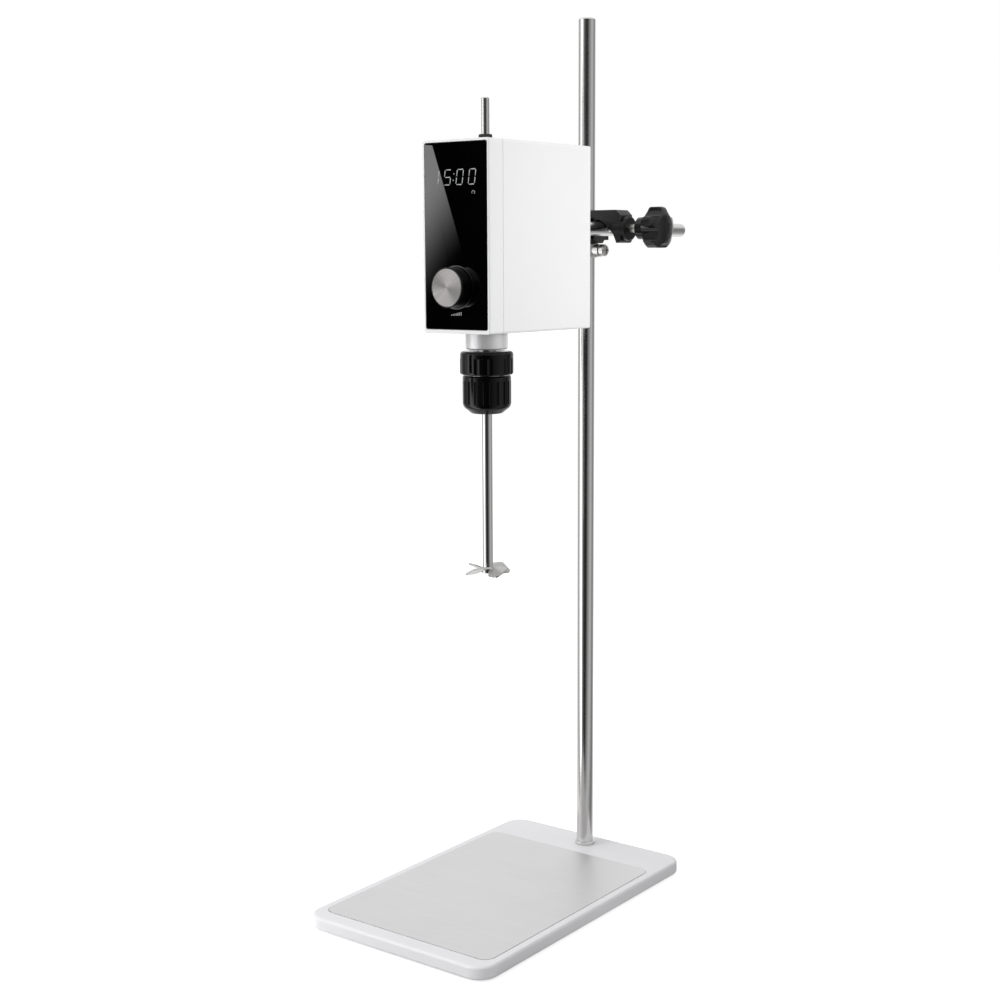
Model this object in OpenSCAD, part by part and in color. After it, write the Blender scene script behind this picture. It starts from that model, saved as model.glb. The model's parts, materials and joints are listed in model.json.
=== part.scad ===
// Overhead stirrer on a plate stand, in millimetres.
// +Z is up, the front faces -Y, and the origin lies on the bench under the middle
// of the base plate.

/* [Base] */
// Width of the base plate, side to side
base_w = 200; // [170:1:260]
// Depth of the base plate, front to back
base_d = 316; // [270:1:400]
// Thickness of the base plate
base_t = 12; // [11:0.5:20]
// Radius of the base plate's corners, seen from above
base_corner_r = 18; // [12:1:24]
// Rounding of the base plate's upper and lower edges
base_edge_r = 2.5; // [1:0.5:4]
// Height of the rubber feet below the base plate
foot_h = 1.5; // [1:0.5:5]
// Diameter of a rubber foot
foot_d = 22; // [16:1:30]
// Distance from the base plate's edges to a foot's centre
foot_inset = 26; // [20:1:34]
// Depth that a foot is let into the base plate
foot_seat = 1.5; // [1:0.5:3]

/* [Work plate] */
// Thickness of the steel work plate
plate_t = 1.5; // [1:0.25:3]
// Height that the work plate stands above the base plate
plate_proud = 0.3; // [0:0.1:0.6]
// Distance from the base plate's side edges to the work plate
plate_side = 8.7; // [6:0.1:20]
// Distance from the base plate's front edge to the work plate
plate_front = 16.4; // [8:0.1:40]
// Distance from the base plate's rear edge to the work plate
plate_rear = 48.3; // [44:0.1:80]
// Radius of the work plate's corners
plate_corner_r = 10; // [4:1:16]
// Gap round the work plate in its recess
plate_gap = 0.4; // [0.2:0.1:1]

/* [Rod] */
// Diameter of the upright rod
rod_d = 16; // [12:0.5:20]
// Length of the upright rod, its spigot included
rod_len = 800; // [740:1:1000]
// Distance from the base plate's rear edge to the rod's axis
rod_back = 22; // [20:0.5:30]
// Chamfer at the rod's top
rod_chamfer = 1.2; // [0.5:0.1:2]
// Diameter of the threaded spigot through the base plate
spigot_d = 10; // [8:1:11]
// Outer diameter of the trim ring at the rod's foot
ring_d = 19.2; // [19:0.1:26]
// Height of the trim ring at the rod's foot
ring_h = 3; // [2:0.5:8]
// Thickness of the nut under the base plate
rod_nut_t = 5; // [4:0.5:6]
// Width of that nut across its flats
rod_nut_af = 17; // [16:1:19]
// Thickness of the washer under the base plate
washer_t = 1.5; // [1:0.1:2]

/* [Stop collar] */
// Outer diameter of the stop collar
collar_d = 22.5; // [20:0.5:32]
// Height of the stop collar
collar_h = 13; // [12:0.5:18]
// Distance from the rod's axis to the flat that the collar's screw passes
collar_flat = 15.5; // [12:0.5:18]
// Diameter of the collar screw's head
collar_head_d = 11; // [9:0.5:12]
// Length of the collar screw's head
collar_head_l = 6; // [4:0.5:8]
// Diameter of the collar screw's thread
collar_thread_d = 6; // [4:1:7]

/* [Boss head] */
// Sideways distance between the upright rod and the support arm
cross_gap = 21; // [20:0.5:25]
// Width of each jaw along its rod
jaw_w = 20; // [16:1:24]
// Height of the boss head above the arm's axis
boss_up = 17; // [15.5:0.5:22]
// Depth of the boss head below the arm's axis
boss_down = 13; // [12.5:0.5:16]
// Gap from a clamped rod to the wall that carries its clamp screw
jaw_room = 8.5; // [6:0.5:12]
// Thickness of that wall, with its round boss
screw_wall = 13; // [10:0.5:14]
// Height of the round boss above that wall
boss_proud = 5; // [3:0.5:6]
// Diameter of the round boss
screw_boss_d = 22; // [18:0.5:24]
// Diameter of the clamp screw's thread
stud_d = 8; // [6:1:10]
// Travel of a clamp screw from tight to fully open
clamp_travel = 5; // [2:0.5:5]

/* [Star knob] */
// Diameter over the lobes
star_d = 38.5; // [32:0.5:44]
// Thickness of the lobed part
star_t = 13; // [10:0.5:20]
// Diameter of the round hub
hub_d = 20; // [16:0.5:21]
// Length of the round hub
hub_l = 13; // [8:0.5:14]
// Height of the lobed part's domed face
star_dome = 3.4; // [2:0.2:5]
// Gap between the boss and the hub when tight
hub_gap = 9; // [6:0.5:14]

/* [Support arm] */
// Diameter of the support arm
arm_d = 13; // [10:0.5:14]
// Length of the support arm outside the head
arm_len = 211; // [190:1:260]
// Height of the arm's axis above the bench
arm_z = 611.5; // [520:0.5:660]

/* [Head] */
// Width of the head
head_w = 70; // [68:1:90]
// Depth of the head, front to back
head_d = 150; // [146:1:180]
// Height of the head
head_h = 158; // [154:1:190]
// Height of the arm's axis above the head's underside
arm_above = 88; // [82:0.5:96]
// Gap between the head's rear face and the upright rod's axis
head_gap = 73; // [66:1:100]
// Wall thickness of the casing
wall = 3; // [2:0.25:4]
// Depth of the front frame
front_depth = 18.5; // [14:0.5:24]
// Radius of the casing's upright rear corners
rear_r = 6; // [4:0.5:10]
// Radius of the casing's upright front corners
front_r = 1.5; // [1:0.25:3]
// Rounding of the casing's long edges
edge_r = 2.5; // [1.5:0.25:4]
// Open joint between the front frame and the casing
seam = 0.25; // [0.1:0.05:0.6]

/* [Front panel] */
// Width of the glass panel
glass_w = 65; // [60:0.5:66]
// Height of the white frame above the glass
glass_top = 2.2; // [2:0.1:6]
// Height of the white frame below the glass
glass_bottom = 3.3; // [2:0.1:8]
// Thickness of the glass panel
glass_t = 2; // [1.5:0.25:2.5]
// Height of the speed knob's axis above the head's underside
knob_up = 38; // [30:0.5:50]
// Diameter of the speed knob
knob_d = 33; // [26:0.5:38]
// Length of the speed knob
knob_l = 11.7; // [9:0.1:16]
// Gap behind the speed knob, which it travels into when pressed
knob_lift = 1.2; // [1:0.1:2]
// Travel of the speed knob when pressed
knob_press = 0.7; // [0.4:0.1:0.8]
// Height of the number display's centre above the head's underside
display_up = 127; // [115:0.5:135]

/* [Spindle] */
// Distance from the head's front to the spindle's axis
spindle_in = 41; // [38:0.5:44]
// Diameter of the spindle housing below the head
collar_out_d = 36; // [30:0.5:40]
// Length of the spindle housing below the head
collar_out_l = 14.5; // [10:0.5:24]
// Outer diameter of the hollow spindle
spindle_d = 14; // [13:0.5:15]
// Bore of the hollow spindle
spindle_bore = 10.4; // [10:0.1:11]
// Gear module
gear_module = 1; // [1:0.25:1]
// Teeth of the gear on the spindle
gear_teeth = 51; // [51:1:51]
// Teeth of the pinion on the motor
pinion_teeth = 17; // [17:1:17]
// Width of the gear's teeth
gear_w = 9; // [6:0.5:10]

/* [Chuck] */
// Gap between the spindle housing and the chuck
chuck_gap = 1.5; // [0.8:0.1:4]
// Diameter of the chuck's upper ring
grip_d = 45.5; // [40:0.5:50]
// Height of the chuck's upper ring
grip_h = 20; // [16:0.5:26]
// Diameter of the chuck's turning sleeve
sleeve_d = 41.5; // [37:0.5:45]
// Height of the chuck's turning sleeve
sleeve_h = 32.5; // [31:0.5:36]
// Height of the sleeve's tapered nose
sleeve_nose = 9.5; // [7:0.5:12]
// Diameter of the sleeve's lower face
sleeve_face_d = 25; // [21:0.5:27]
// Diameter of the chuck's steel body
chuck_body_d = 30; // [29:0.5:31]
// Lean of a jaw from upright
jaw_lean = 10; // [8:0.5:11]
// Diameter of a jaw
jaw_d = 5; // [4:0.5:5]
// Length of a jaw
jaw_l = 22; // [18:0.5:22]

/* [Stirring shaft] */
// Diameter of the shaft below the head
shaft_d = 9; // [8:0.5:9.5]
// Diameter of the shaft's slimmer upper end
shaft_top_d = 7; // [6:0.5:7]
// Length of the whole shaft
shaft_len = 400; // [300:1:460]
// Height that the shaft stands above the head
shaft_above = 36; // [20:1:60]
// Length of the slimmer upper end
shaft_top_len = 152; // [140:1:160]
// Diameter over the propeller's blades
prop_d = 42; // [36:1:60]
// Width of a propeller blade
blade_w = 15; // [12:0.5:16]
// Thickness of a propeller blade
blade_t = 1.2; // [1:0.1:2]
// Pitch of the propeller blades from level
blade_pitch = 27; // [20:1:50]

/* [Hidden] */

$fn = 64;
// Overshoot of a cut past the face that it opens
eps = 0.5;
// Gap between two pieces that are fixed to each other
fit = 0.02;
// Radial gap of a shaft that turns or slides in a hole
run = 0.05;
// Face gap between two pieces that move over each other
slip = 0.1;

// Heights of the stand, from the bench
base_z = foot_h;
base_top = base_z + base_t;
rod_y = base_d / 2 - rod_back;
spigot_len = base_t - 1;
rod_top = base_top + rod_len - spigot_len;
ring_bore_d = rod_d + 2 * fit;
nut_bore_d = rod_nut_af / cos(30) + 2;
nut_bore_h = washer_t + rod_nut_t + 1;
washer_d = nut_bore_d - 1;
plate_w = base_w - 2 * plate_side;
plate_d = base_d - plate_front - plate_rear;
plate_y = (plate_front - plate_rear) / 2;

// Places of the boss head and the stop collar
arm_r = arm_d / 2;
rod_r = rod_d / 2;
v_slope = tan(30);
v_lip = 5.5;
boss_bottom = arm_z - boss_down;
collar_top = boss_bottom - slip;
pad_t = 3;
pad_d = 10;
stud_tip = pad_t + slip;
stud_l = jaw_room + screw_wall + hub_gap + hub_l + star_t / 2 - stud_tip;

// Box of the head
head_x = cross_gap;
head_rear = rod_y - head_gap;
head_front = head_rear - head_d;
head_y = head_front + head_d / 2;
head_bottom = arm_z - arm_above;
head_top = head_bottom + head_h;
seam_y = head_front + front_depth;

// Front panel
glass_h = head_h - glass_top - glass_bottom;
glass_z = head_bottom + glass_bottom + glass_h / 2;
glass_r = 1.5;
glass_y = head_front + 0.2;
glass_gap = 0.2;
glass_back = glass_y + glass_t;
knob_z = head_bottom + knob_up;
knob_back = glass_y - knob_lift;
knob_front = knob_back - knob_l;
encoder_shaft_d = 6;
encoder_bush_d = 9;
encoder_hole_d = encoder_bush_d + 2 * fit;
display_z = head_bottom + display_up;
board_y = glass_back + 9.5;
board_t = 1.6;
board_w = glass_w - 4;
board_h = glass_h - 6;

// Drive
spindle_y = head_front + spindle_in;
gear_r = gear_module * gear_teeth / 2;
pinion_r = gear_module * pinion_teeth / 2;
gear_distance = gear_r + pinion_r;
motor_y = spindle_y + gear_distance;
motor_d = 50;
motor_l = 56;
motor_shaft_d = 6;
gear_z = head_bottom + wall + 6.5;
deck_t = 8;
deck_z = gear_z + gear_w + 4.5;
deck_top = deck_z + deck_t;
motor_z = deck_top + fit;
bearing_d = 26;
bearing_h = 6;
lower_bearing_z = head_bottom - 7;
upper_bearing_z = deck_z + deck_t - bearing_h;
chassis_wall_y = motor_y + motor_d / 2 + 25;
chassis_wall_t = 4;

// Chuck
housing_bottom = head_bottom - collar_out_l;
grip_top = housing_bottom - chuck_gap;
grip_bottom = grip_top - grip_h;
sleeve_top = grip_bottom - 0.6;
sleeve_bottom = sleeve_top - sleeve_h;
jaw_bottom = sleeve_bottom + 2;
jaw_r = shaft_d / 2 + jaw_d * 0.37;
jaw_travel = 4.5;
body_nose_r = jaw_r + jaw_d / 2 / cos(jaw_lean) + 0.8;
nut_low = jaw_bottom + 13;
nut_h = 6;
nut_bore_r = jaw_r + (nut_low + nut_h - jaw_bottom) * tan(jaw_lean) + jaw_d / 2 / cos(jaw_lean) + 0.3;
spindle_nose = grip_top - 18;
spindle_top = head_top - wall - 4;

// Stirring shaft
shaft_top = head_top + shaft_above;
shaft_bottom = shaft_top - shaft_len;
shaft_step = shaft_top - shaft_top_len;
grommet_d = 11.4;
grommet_h = 6;
grommet_hole_d = 9;

// ---------------------------------------------------------------- outlines

// Points along an arc about c, from angle a0 to a1
function arc(c, r, a0, a1, n = 8) =
    [for (i = [0:n]) let (a = a0 + (a1 - a0) * i / n) c + r * [cos(a), sin(a)]];

module rounded_rect(w, d, r) {
    square([w - 2 * r, d], center = true);
    square([w, d - 2 * r], center = true);
    for (sx = [-1, 1], sy = [-1, 1])
        translate([sx * (w / 2 - r), sy * (d / 2 - r)]) circle(r);
}

// Half section of a disc with rounded edges
module soft_half(r, t, e) {
    square([r - e, t]);
    translate([0, e]) square([r, t - 2 * e]);
    for (z = [e, t - e]) translate([r - e, z]) circle(e);
}

// Plate with round corners in plan and rounded upper and lower edges
module soft_plate(w, d, t, r, e) {
    union() {
        for (sx = [-1, 1], sy = [-1, 1])
            translate([sx * (w / 2 - r), sy * (d / 2 - r), 0])
                rotate_extrude() soft_half(r, t, e);
        translate([0, 0, t / 2]) rotate([90, 0, 0])
            linear_extrude(d - 2 * r, center = true) rounded_rect(w, t, e);
        translate([0, 0, t / 2]) rotate([90, 0, 90])
            linear_extrude(w - 2 * r, center = true) rounded_rect(d, t, e);
    }
}

// Solid of revolution from [radius, height] points
module turned(points) { rotate_extrude() polygon(points); }

// Ring with a chamfer c on its outer edges
module ring(outer_r, inner_r, h, c = 0.4) {
    turned([[inner_r, 0], [outer_r - c, 0], [outer_r, c], [outer_r, h - c],
            [outer_r - c, h], [inner_r, h]]);
}

// Places a child so that its +Z runs along +X, +Y, -Y or -X
module along_x() { rotate([0, 90, 0]) children(); }
module along_y() { rotate([-90, 0, 0]) children(); }
module along_minus_y() { rotate([90, 0, 0]) children(); }

module at_spindle(z = 0) { translate([head_x, spindle_y, z]) children(); }
module at_motor(z = 0) { translate([head_x, motor_y, z]) children(); }
module at_rod(z = 0) { translate([0, rod_y, z]) children(); }
module at_feet() {
    for (sx = [-1, 1], sy = [-1, 1])
        translate([sx * (base_w / 2 - foot_inset), sy * (base_d / 2 - foot_inset), 0]) children();
}

// Pan-head screw along -Z from its head's underside at z = 0
module pan_screw(d, l) {
    union() {
        difference() {
            turned([[0, 0], [d, 0], [d, 0.28 * d], [0.75 * d, 0.6 * d], [0, 0.6 * d]]);
            for (a = [0, 90]) rotate(a)
                translate([0, 0, 0.6 * d]) cube([1.2 * d, 0.22 * d, 0.6 * d], center = true);
        }
        translate([0, 0, -l]) cylinder(d = d, h = l + 0.01);
    }
}

// ---------------------------------------------------------------- stand

module base_plate() color("whitesmoke")
    difference() {
        translate([0, 0, base_z]) soft_plate(base_w, base_d, base_t, base_corner_r, base_edge_r);
        translate([0, plate_y, base_top - plate_t + plate_proud])
            linear_extrude(plate_t + eps)
                rounded_rect(plate_w + 2 * plate_gap, plate_d + 2 * plate_gap, plate_corner_r + plate_gap);
        at_rod(base_z) {
            cylinder(d = spigot_d + 2 * fit, h = base_t + eps);
            translate([0, 0, -eps]) cylinder(d = nut_bore_d, h = nut_bore_h + eps);
        }
        at_feet() translate([0, 0, base_z - eps])
            cylinder(d = foot_d + 2 * fit, h = foot_seat + eps);
    }

module work_plate() color("silver")
    translate([0, plate_y, base_top - plate_t + plate_proud])
        linear_extrude(plate_t) rounded_rect(plate_w, plate_d, plate_corner_r);

module rubber_feet() color("dimgray")
    at_feet() difference() {
        turned([[0, 0], [foot_d / 2 - 0.6, 0], [foot_d / 2, 0.6], [foot_d / 2, foot_h + foot_seat],
                [0, foot_h + foot_seat]]);
        translate([0, 0, -eps]) cylinder(d = foot_d * 0.36, h = foot_h / 2 + eps);
    }

module upright_rod() color("lightsteelblue")
    at_rod(base_top) turned([
        [0, -spigot_len], [spigot_d / 2 - 0.8, -spigot_len], [spigot_d / 2, 0.8 - spigot_len],
        [spigot_d / 2, 0], [rod_r, 0], [rod_r, rod_top - base_top - rod_chamfer],
        [rod_r - rod_chamfer, rod_top - base_top], [0, rod_top - base_top]]);

module rod_foot_ring() color("silver")
    at_rod(base_top) ring(ring_d / 2, ring_bore_d / 2, ring_h, 0.6);

module rod_washer() color("silver")
    at_rod(base_z + nut_bore_h - washer_t) ring(washer_d / 2, spigot_d / 2 + fit, washer_t, 0.2);

module rod_nut() color("silver")
    at_rod(base_z + nut_bore_h - washer_t - rod_nut_t) difference() {
        cylinder(d = rod_nut_af / cos(30), h = rod_nut_t, $fn = 6);
        translate([0, 0, -eps]) cylinder(d = spigot_d + 2 * fit, h = rod_nut_t + 2 * eps);
    }

// ---------------------------------------------------------------- stop collar

module stop_collar() color("silver")
    at_rod(collar_top - collar_h) difference() {
        union() {
            ring(collar_d / 2, rod_r + run, collar_h, 0.6);
            intersection() {
                translate([0, 0, collar_h / 2]) along_x() cylinder(d = collar_h - 1.5, h = collar_flat);
                difference() {
                    cylinder(r = collar_flat + 1, h = collar_h);
                    translate([0, 0, -eps]) cylinder(r = rod_r + run, h = collar_h + 2 * eps);
                }
            }
        }
        translate([rod_r - 2, 0, collar_h / 2]) along_x()
            cylinder(d = collar_thread_d + 2 * fit, h = collar_flat);
    }

module collar_screw() color("silver")
    at_rod(collar_top - collar_h / 2) translate([collar_flat, 0, 0]) along_x()
        difference() {
            turned([[0, rod_r + slip - collar_flat], [collar_thread_d / 2, rod_r + slip - collar_flat],
                    [collar_thread_d / 2, 1], [collar_head_d / 2 - 0.4, 1], [collar_head_d / 2, 1.4],
                    [collar_head_d / 2, collar_head_l - 0.6], [collar_head_d / 2 - 1.2, collar_head_l + 0.6],
                    [collar_head_d / 2 - 3, collar_head_l + 1], [0, collar_head_l + 1]]);
            // cross recess
            for (a = [0, 90]) rotate(a) translate([0, 0, collar_head_l + 1])
                cube([collar_head_d * 0.66, 1.6, 4.4], center = true);
        }

// ---------------------------------------------------------------- boss head

// Section of a jaw about a rod at [0, 0]; its screw wall stands on the +X side, and
// its mouth opens towards -Y. The groove that the rod rests in faces +X.
module jaw_section(r, back, up, down) {
    lip = (r + run) / cos(30) - v_lip * v_slope;
    wall_in = r + jaw_room;
    wall_out = wall_in + screw_wall - boss_proud;
    roof = r + 1.8;
    // the mouth's slope passes the rod this far from its axis, measured along +X
    slope = (r + 0.65) * sqrt(2);
    difference() {
        polygon(concat(
            [[back, -down]],
            arc([wall_out - 3, 3 - down], 3, 270, 360, 5),
            [[wall_out, up - 5.4], [wall_out - 0.5, up - 4.4], [wall_out - 4.6, up - 0.5],
             [wall_out - 5.6, up], [back, up]]));
        polygon([[-lip - 6, -down - 1], [wall_out - 4.5, -down - 1], [wall_out - 4.5, -down],
                 [slope + 5, -5], [slope + 1, -1], [slope - roof + 2.5, roof - 2.5],
                 [slope - roof - 1.5, roof], [-lip, roof], [-lip, v_lip],
                 [-(r + run) / cos(30), 0], [-lip, -v_lip], [-lip - 5, -down]]);
    }
}

// Round boss on a jaw's screw wall, with its threaded hole cut by jaw_hole()
module jaw_boss(r) {
    translate([r + jaw_room, 0, 0]) along_x()
        turned([[0, 0], [screw_boss_d / 2, 0], [screw_boss_d / 2, screw_wall - 1],
                [screw_boss_d / 2 - 1, screw_wall], [0, screw_wall]]);
}

module jaw_hole(r) {
    translate([r, 0, 0]) along_x() {
        cylinder(d = stud_d + 2 * run, h = jaw_room + screw_wall + eps);
        // room for the pad on its way back
        cylinder(d = pad_d + 0.6, h = pad_t + clamp_travel + 0.5);
    }
}

// Turns the jaw for the arm, drawn in its own plane, to its place round the arm
module to_arm() {
    translate([cross_gap, rod_y, arm_z]) rotate([90, 0, 0]) children();
}

// Turns the jaw for the upright rod to its place; its screw wall stands on the -X side
module to_rod() {
    at_rod(arm_z) mirror([1, 0, 0]) children();
}

module boss_head() color([0.1, 0.1, 0.11]) {
    web_back = -(cross_gap - rod_r / cos(30) + v_lip * v_slope);
    difference() {
        union() {
            to_arm() linear_extrude(jaw_w, center = true)
                jaw_section(arm_r, web_back, boss_up, boss_down);
            to_arm() jaw_boss(arm_r);
            to_rod() linear_extrude(jaw_w, center = true)
                jaw_section(rod_r, -(cross_gap - arm_r / cos(30) - run), boss_up, boss_down);
            to_rod() jaw_boss(rod_r);
        }
        to_arm() jaw_hole(arm_r);
        to_rod() jaw_hole(rod_r);
        // the groove for the upright rod runs the full height of the web
        to_rod() linear_extrude(4 * jaw_w, center = true)
            polygon([[1, -v_lip * 1.6], [-(rod_r + run) / cos(30) + v_lip * v_slope, -v_lip],
                     [-(rod_r + run) / cos(30), 0],
                     [-(rod_r + run) / cos(30) + v_lip * v_slope, v_lip], [1, v_lip * 1.6]]);
    }
}

// Clamp screw of a jaw, drawn along +X from the clamped rod's surface at the origin
module clamp_pad() {
    translate([slip, 0, 0]) along_x() ring(pad_d / 2, 0, pad_t - slip, 0.5);
}

module clamp_stud() {
    translate([stud_tip, 0, 0]) along_x()
        turned([[0, 0], [stud_d / 2 - 1, 0], [stud_d / 2, 1], [stud_d / 2, stud_l], [0, stud_l]]);
}

// Five-lobed outline with a lobe along -X: a disc with round bites between the lobes
module star_outline(r, lobes = 5) {
    bite = r * 0.46;
    difference() {
        circle(r);
        for (i = [0:lobes - 1]) rotate(i * 360 / lobes)
            translate([r + bite * 0.33, 0]) circle(bite);
    }
}

module star_knob() {
    hub_r = hub_d / 2;
    star_r = star_d / 2;
    star_end = hub_l + star_t;
    start = jaw_room + screw_wall + hub_gap;
    translate([start, 0, 0]) along_x() difference() {
        union() {
            turned([[0, 0], [hub_r - 1, 0], [hub_r, 1], [hub_r, hub_l], [0, hub_l]]);
            intersection() {
                translate([0, 0, hub_l - 3]) linear_extrude(star_t + star_dome + 4) star_outline(star_r);
                turned([[0, hub_l - 3], [star_r * 0.65, hub_l - 3], [star_r - 1, hub_l - 0.2],
                        [star_r, hub_l + 1.2], [star_r, star_end - 2.4], [star_r - 0.8, star_end - 0.6],
                        [star_r - 2.2, star_end + 0.3], [star_r * 0.6, star_end + star_dome * 0.75],
                        [star_r * 0.3, star_end + star_dome], [0, star_end + star_dome]]);
            }
        }
        translate([0, 0, -eps]) cylinder(d = stud_d + 2 * fit, h = hub_l + star_t / 2 + eps + fit);
    }
}

// Moves a clamp screw to the arm's jaw or to the upright rod's jaw
module at_arm_clamp() { translate([cross_gap + arm_r, rod_y, arm_z]) children(); }
module at_rod_clamp() { at_rod(arm_z) mirror([1, 0, 0]) translate([rod_r, 0, 0]) children(); }

module arm_clamp_pad() color("goldenrod") at_arm_clamp() clamp_pad();
module arm_clamp_stud() color("silver") at_arm_clamp() clamp_stud();
module arm_star_knob() color([0.1, 0.1, 0.11]) at_arm_clamp() star_knob();
module rod_clamp_pad() color("goldenrod") at_rod_clamp() clamp_pad();
module rod_clamp_stud() color("silver") at_rod_clamp() clamp_stud();
module rod_star_knob() color([0.1, 0.1, 0.11]) at_rod_clamp() star_knob();

// ---------------------------------------------------------------- support arm

arm_tip = head_rear + arm_len;
arm_thread_d = 10;
arm_shoulder = chassis_wall_y + chassis_wall_t + 0.6;
arm_nut_t = 6;
arm_end = chassis_wall_y - 1 - arm_nut_t - 1.5;

module support_arm() color("lightsteelblue")
    translate([head_x, 0, arm_z]) along_y() turned([
        [0, arm_end], [arm_thread_d / 2 - 0.8, arm_end], [arm_thread_d / 2, arm_end + 0.8],
        [arm_thread_d / 2, arm_shoulder], [arm_r, arm_shoulder], [arm_r, arm_tip - 4.6],
        [arm_r - 0.7, arm_tip - 3.2], [arm_r - 3.4, arm_tip - 0.5], [arm_r - 4.2, arm_tip], [0, arm_tip]]);

module arm_nut() color("silver")
    translate([head_x, chassis_wall_y - slip - arm_nut_t, arm_z]) along_y() difference() {
        cylinder(d = 17 / cos(30), h = arm_nut_t, $fn = 6);
        translate([0, 0, -eps]) cylinder(d = arm_thread_d + 2 * fit, h = arm_nut_t + 2 * eps);
    }

socket_d = 24;
socket_flange_d = 44;
socket_flange_t = 4;
socket_end = head_rear + 1;

module at_socket_screws() {
    for (a = [45:90:315]) translate([head_x, 0, arm_z]) rotate([0, a, 0])
        translate([17, 0, 0]) children();
}

module arm_socket() color("silver")
    difference() {
        translate([head_x, chassis_wall_y + chassis_wall_t, arm_z]) along_y() union() {
            ring(socket_flange_d / 2, arm_r + run, socket_flange_t, 0.6);
            ring(socket_d / 2, arm_r + run, socket_end - chassis_wall_y - chassis_wall_t, 0.6);
        }
        at_socket_screws() translate([0, chassis_wall_y, 0]) along_y()
            cylinder(d = 4 + 2 * fit, h = 20);
    }

module socket_screws() color("silver")
    at_socket_screws()
        translate([0, chassis_wall_y + chassis_wall_t + socket_flange_t, 0]) along_y()
            pan_screw(4, chassis_wall_t + socket_flange_t - 1);

// ---------------------------------------------------------------- head casing

// Upright outline of the head, seen from above
module head_plan(inset = 0) {
    w = head_w - 2 * inset;
    d = head_d - 2 * inset;
    rr = max(rear_r - inset, 0.5);
    rf = max(front_r - inset, 0.5);
    translate([head_x, head_y]) polygon(concat(
        arc([w / 2 - rr, d / 2 - rr], rr, 0, 90, 10),
        arc([rr - w / 2, d / 2 - rr], rr, 90, 180, 10),
        arc([rf - w / 2, rf - d / 2], rf, 180, 270, 4),
        arc([w / 2 - rf, rf - d / 2], rf, 270, 360, 4)));
}

// Outline of the head seen from its right side, with its rear corners rounded
module head_profile(inset = 0) {
    d = head_d - 2 * inset;
    h = head_h - 2 * inset;
    rr = max(rear_r - inset, 0.5);
    translate([head_y, head_bottom + head_h / 2]) polygon(concat(
        arc([d / 2 - rr, h / 2 - rr], rr, 0, 90, 10),
        [[-d / 2, h / 2], [-d / 2, -h / 2]],
        arc([d / 2 - rr, rr - h / 2], rr, 270, 360, 10)));
}

// Block of the head between two depths, with its long and rear edges rounded
module head_block(y0, y1, inset = 0) {
    intersection() {
        translate([head_x - head_w / 2, 0, 0]) rotate([90, 0, 90])
            linear_extrude(head_w) head_profile(inset);
        translate([0, 0, head_bottom + inset])
            linear_extrude(head_h - 2 * inset) head_plan(inset);
        translate([head_x, y0, head_bottom + head_h / 2]) along_y()
            linear_extrude(y1 - y0)
                rounded_rect(head_w - 2 * inset, head_h - 2 * inset, max(edge_r - inset, 0.4));
    }
}

cover_w = head_w - 2 * rear_r;
cover_h = head_h - 2 * rear_r;
cover_r = 4;
cover_t = 2;
cover_ledge = 3;

module cover_outline(grow = 0) {
    rounded_rect(cover_w + 2 * grow, cover_h + 2 * grow, cover_r + grow);
}

module head_casing() color("white")
    difference() {
        head_block(seam_y + seam, head_rear);
        // hollow, open to the front frame
        head_block(seam_y - eps, head_rear - wall, wall);
        // rebate that the rear cover lies in, and the opening behind it
        translate([head_x, head_rear - cover_t, head_bottom + head_h / 2]) along_y()
            linear_extrude(cover_t + eps) cover_outline(0.2);
        translate([head_x, head_rear - wall - eps, head_bottom + head_h / 2]) along_y()
            linear_extrude(wall + 2 * eps) cover_outline(-cover_ledge);
        at_spindle(head_bottom - eps) cylinder(d = collar_out_d + 2 * fit, h = wall + 2 * eps);
        at_spindle(head_top - wall - eps) cylinder(d = grommet_hole_d, h = wall + 2 * eps);
        at_posts() translate([0, 0, head_bottom])
            turned([[0, -eps], [3.62 + fit, -eps], [3.62 + fit, 0.3 + fit], [2 + fit, 1.9 + 2 * fit],
                    [2 + fit, wall + eps], [0, wall + eps]]);
        at_cover_screws() translate([0, head_rear - cover_t - 4, 0]) along_y()
            cylinder(d = 3 + 2 * fit, h = 6);
    }

frame_lip = 2.5;

module front_frame() color("white")
    difference() {
        union() {
            head_block(head_front, seam_y);
            head_block(seam_y - eps, seam_y + frame_lip, wall + 0.15);
        }
        // rebate for the glass, then the opening behind it
        translate([head_x, head_front - eps, glass_z]) along_y()
            linear_extrude(glass_back - head_front + eps)
                rounded_rect(glass_w + 2 * glass_gap, glass_h + 2 * glass_gap, glass_r + glass_gap);
        translate([head_x, head_front, glass_z]) along_y()
            linear_extrude(front_depth + frame_lip + eps)
                rounded_rect(glass_w - 7, glass_h - 9, 3);
        // rebate for the control board, open to the rear
        translate([head_x, board_y - fit, glass_z]) along_y()
            linear_extrude(front_depth) rounded_rect(board_w + 0.4, board_h + 0.4, 2.2);
    }

module glass_panel() color([0.03, 0.03, 0.04])
    difference() {
        translate([head_x, glass_y, glass_z]) along_y()
            linear_extrude(glass_t - fit) rounded_rect(glass_w, glass_h, glass_r);
        at_knob(glass_y - eps) cylinder(d = encoder_hole_d, h = glass_t + 2 * eps);
    }

module at_knob(y) { translate([head_x, y, knob_z]) along_y() children(); }

vent_n = 9;
vent_w = 36;
vent_h = 2.4;
vent_pitch = 4.8;
inlet_w = 31;
inlet_h = 24;
inlet_z = head_bottom + 22;
switch_z = head_bottom + 48;
switch_w = 21;
switch_h = 15;

module at_cover_screws() {
    for (sx = [-1, 1], sz = [-1, 1])
        translate([head_x + sx * (cover_w / 2 - 3.5 - 0.2), 0,
                   head_bottom + head_h / 2 + sz * (cover_h / 2 - 3.7)]) children();
}

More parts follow.
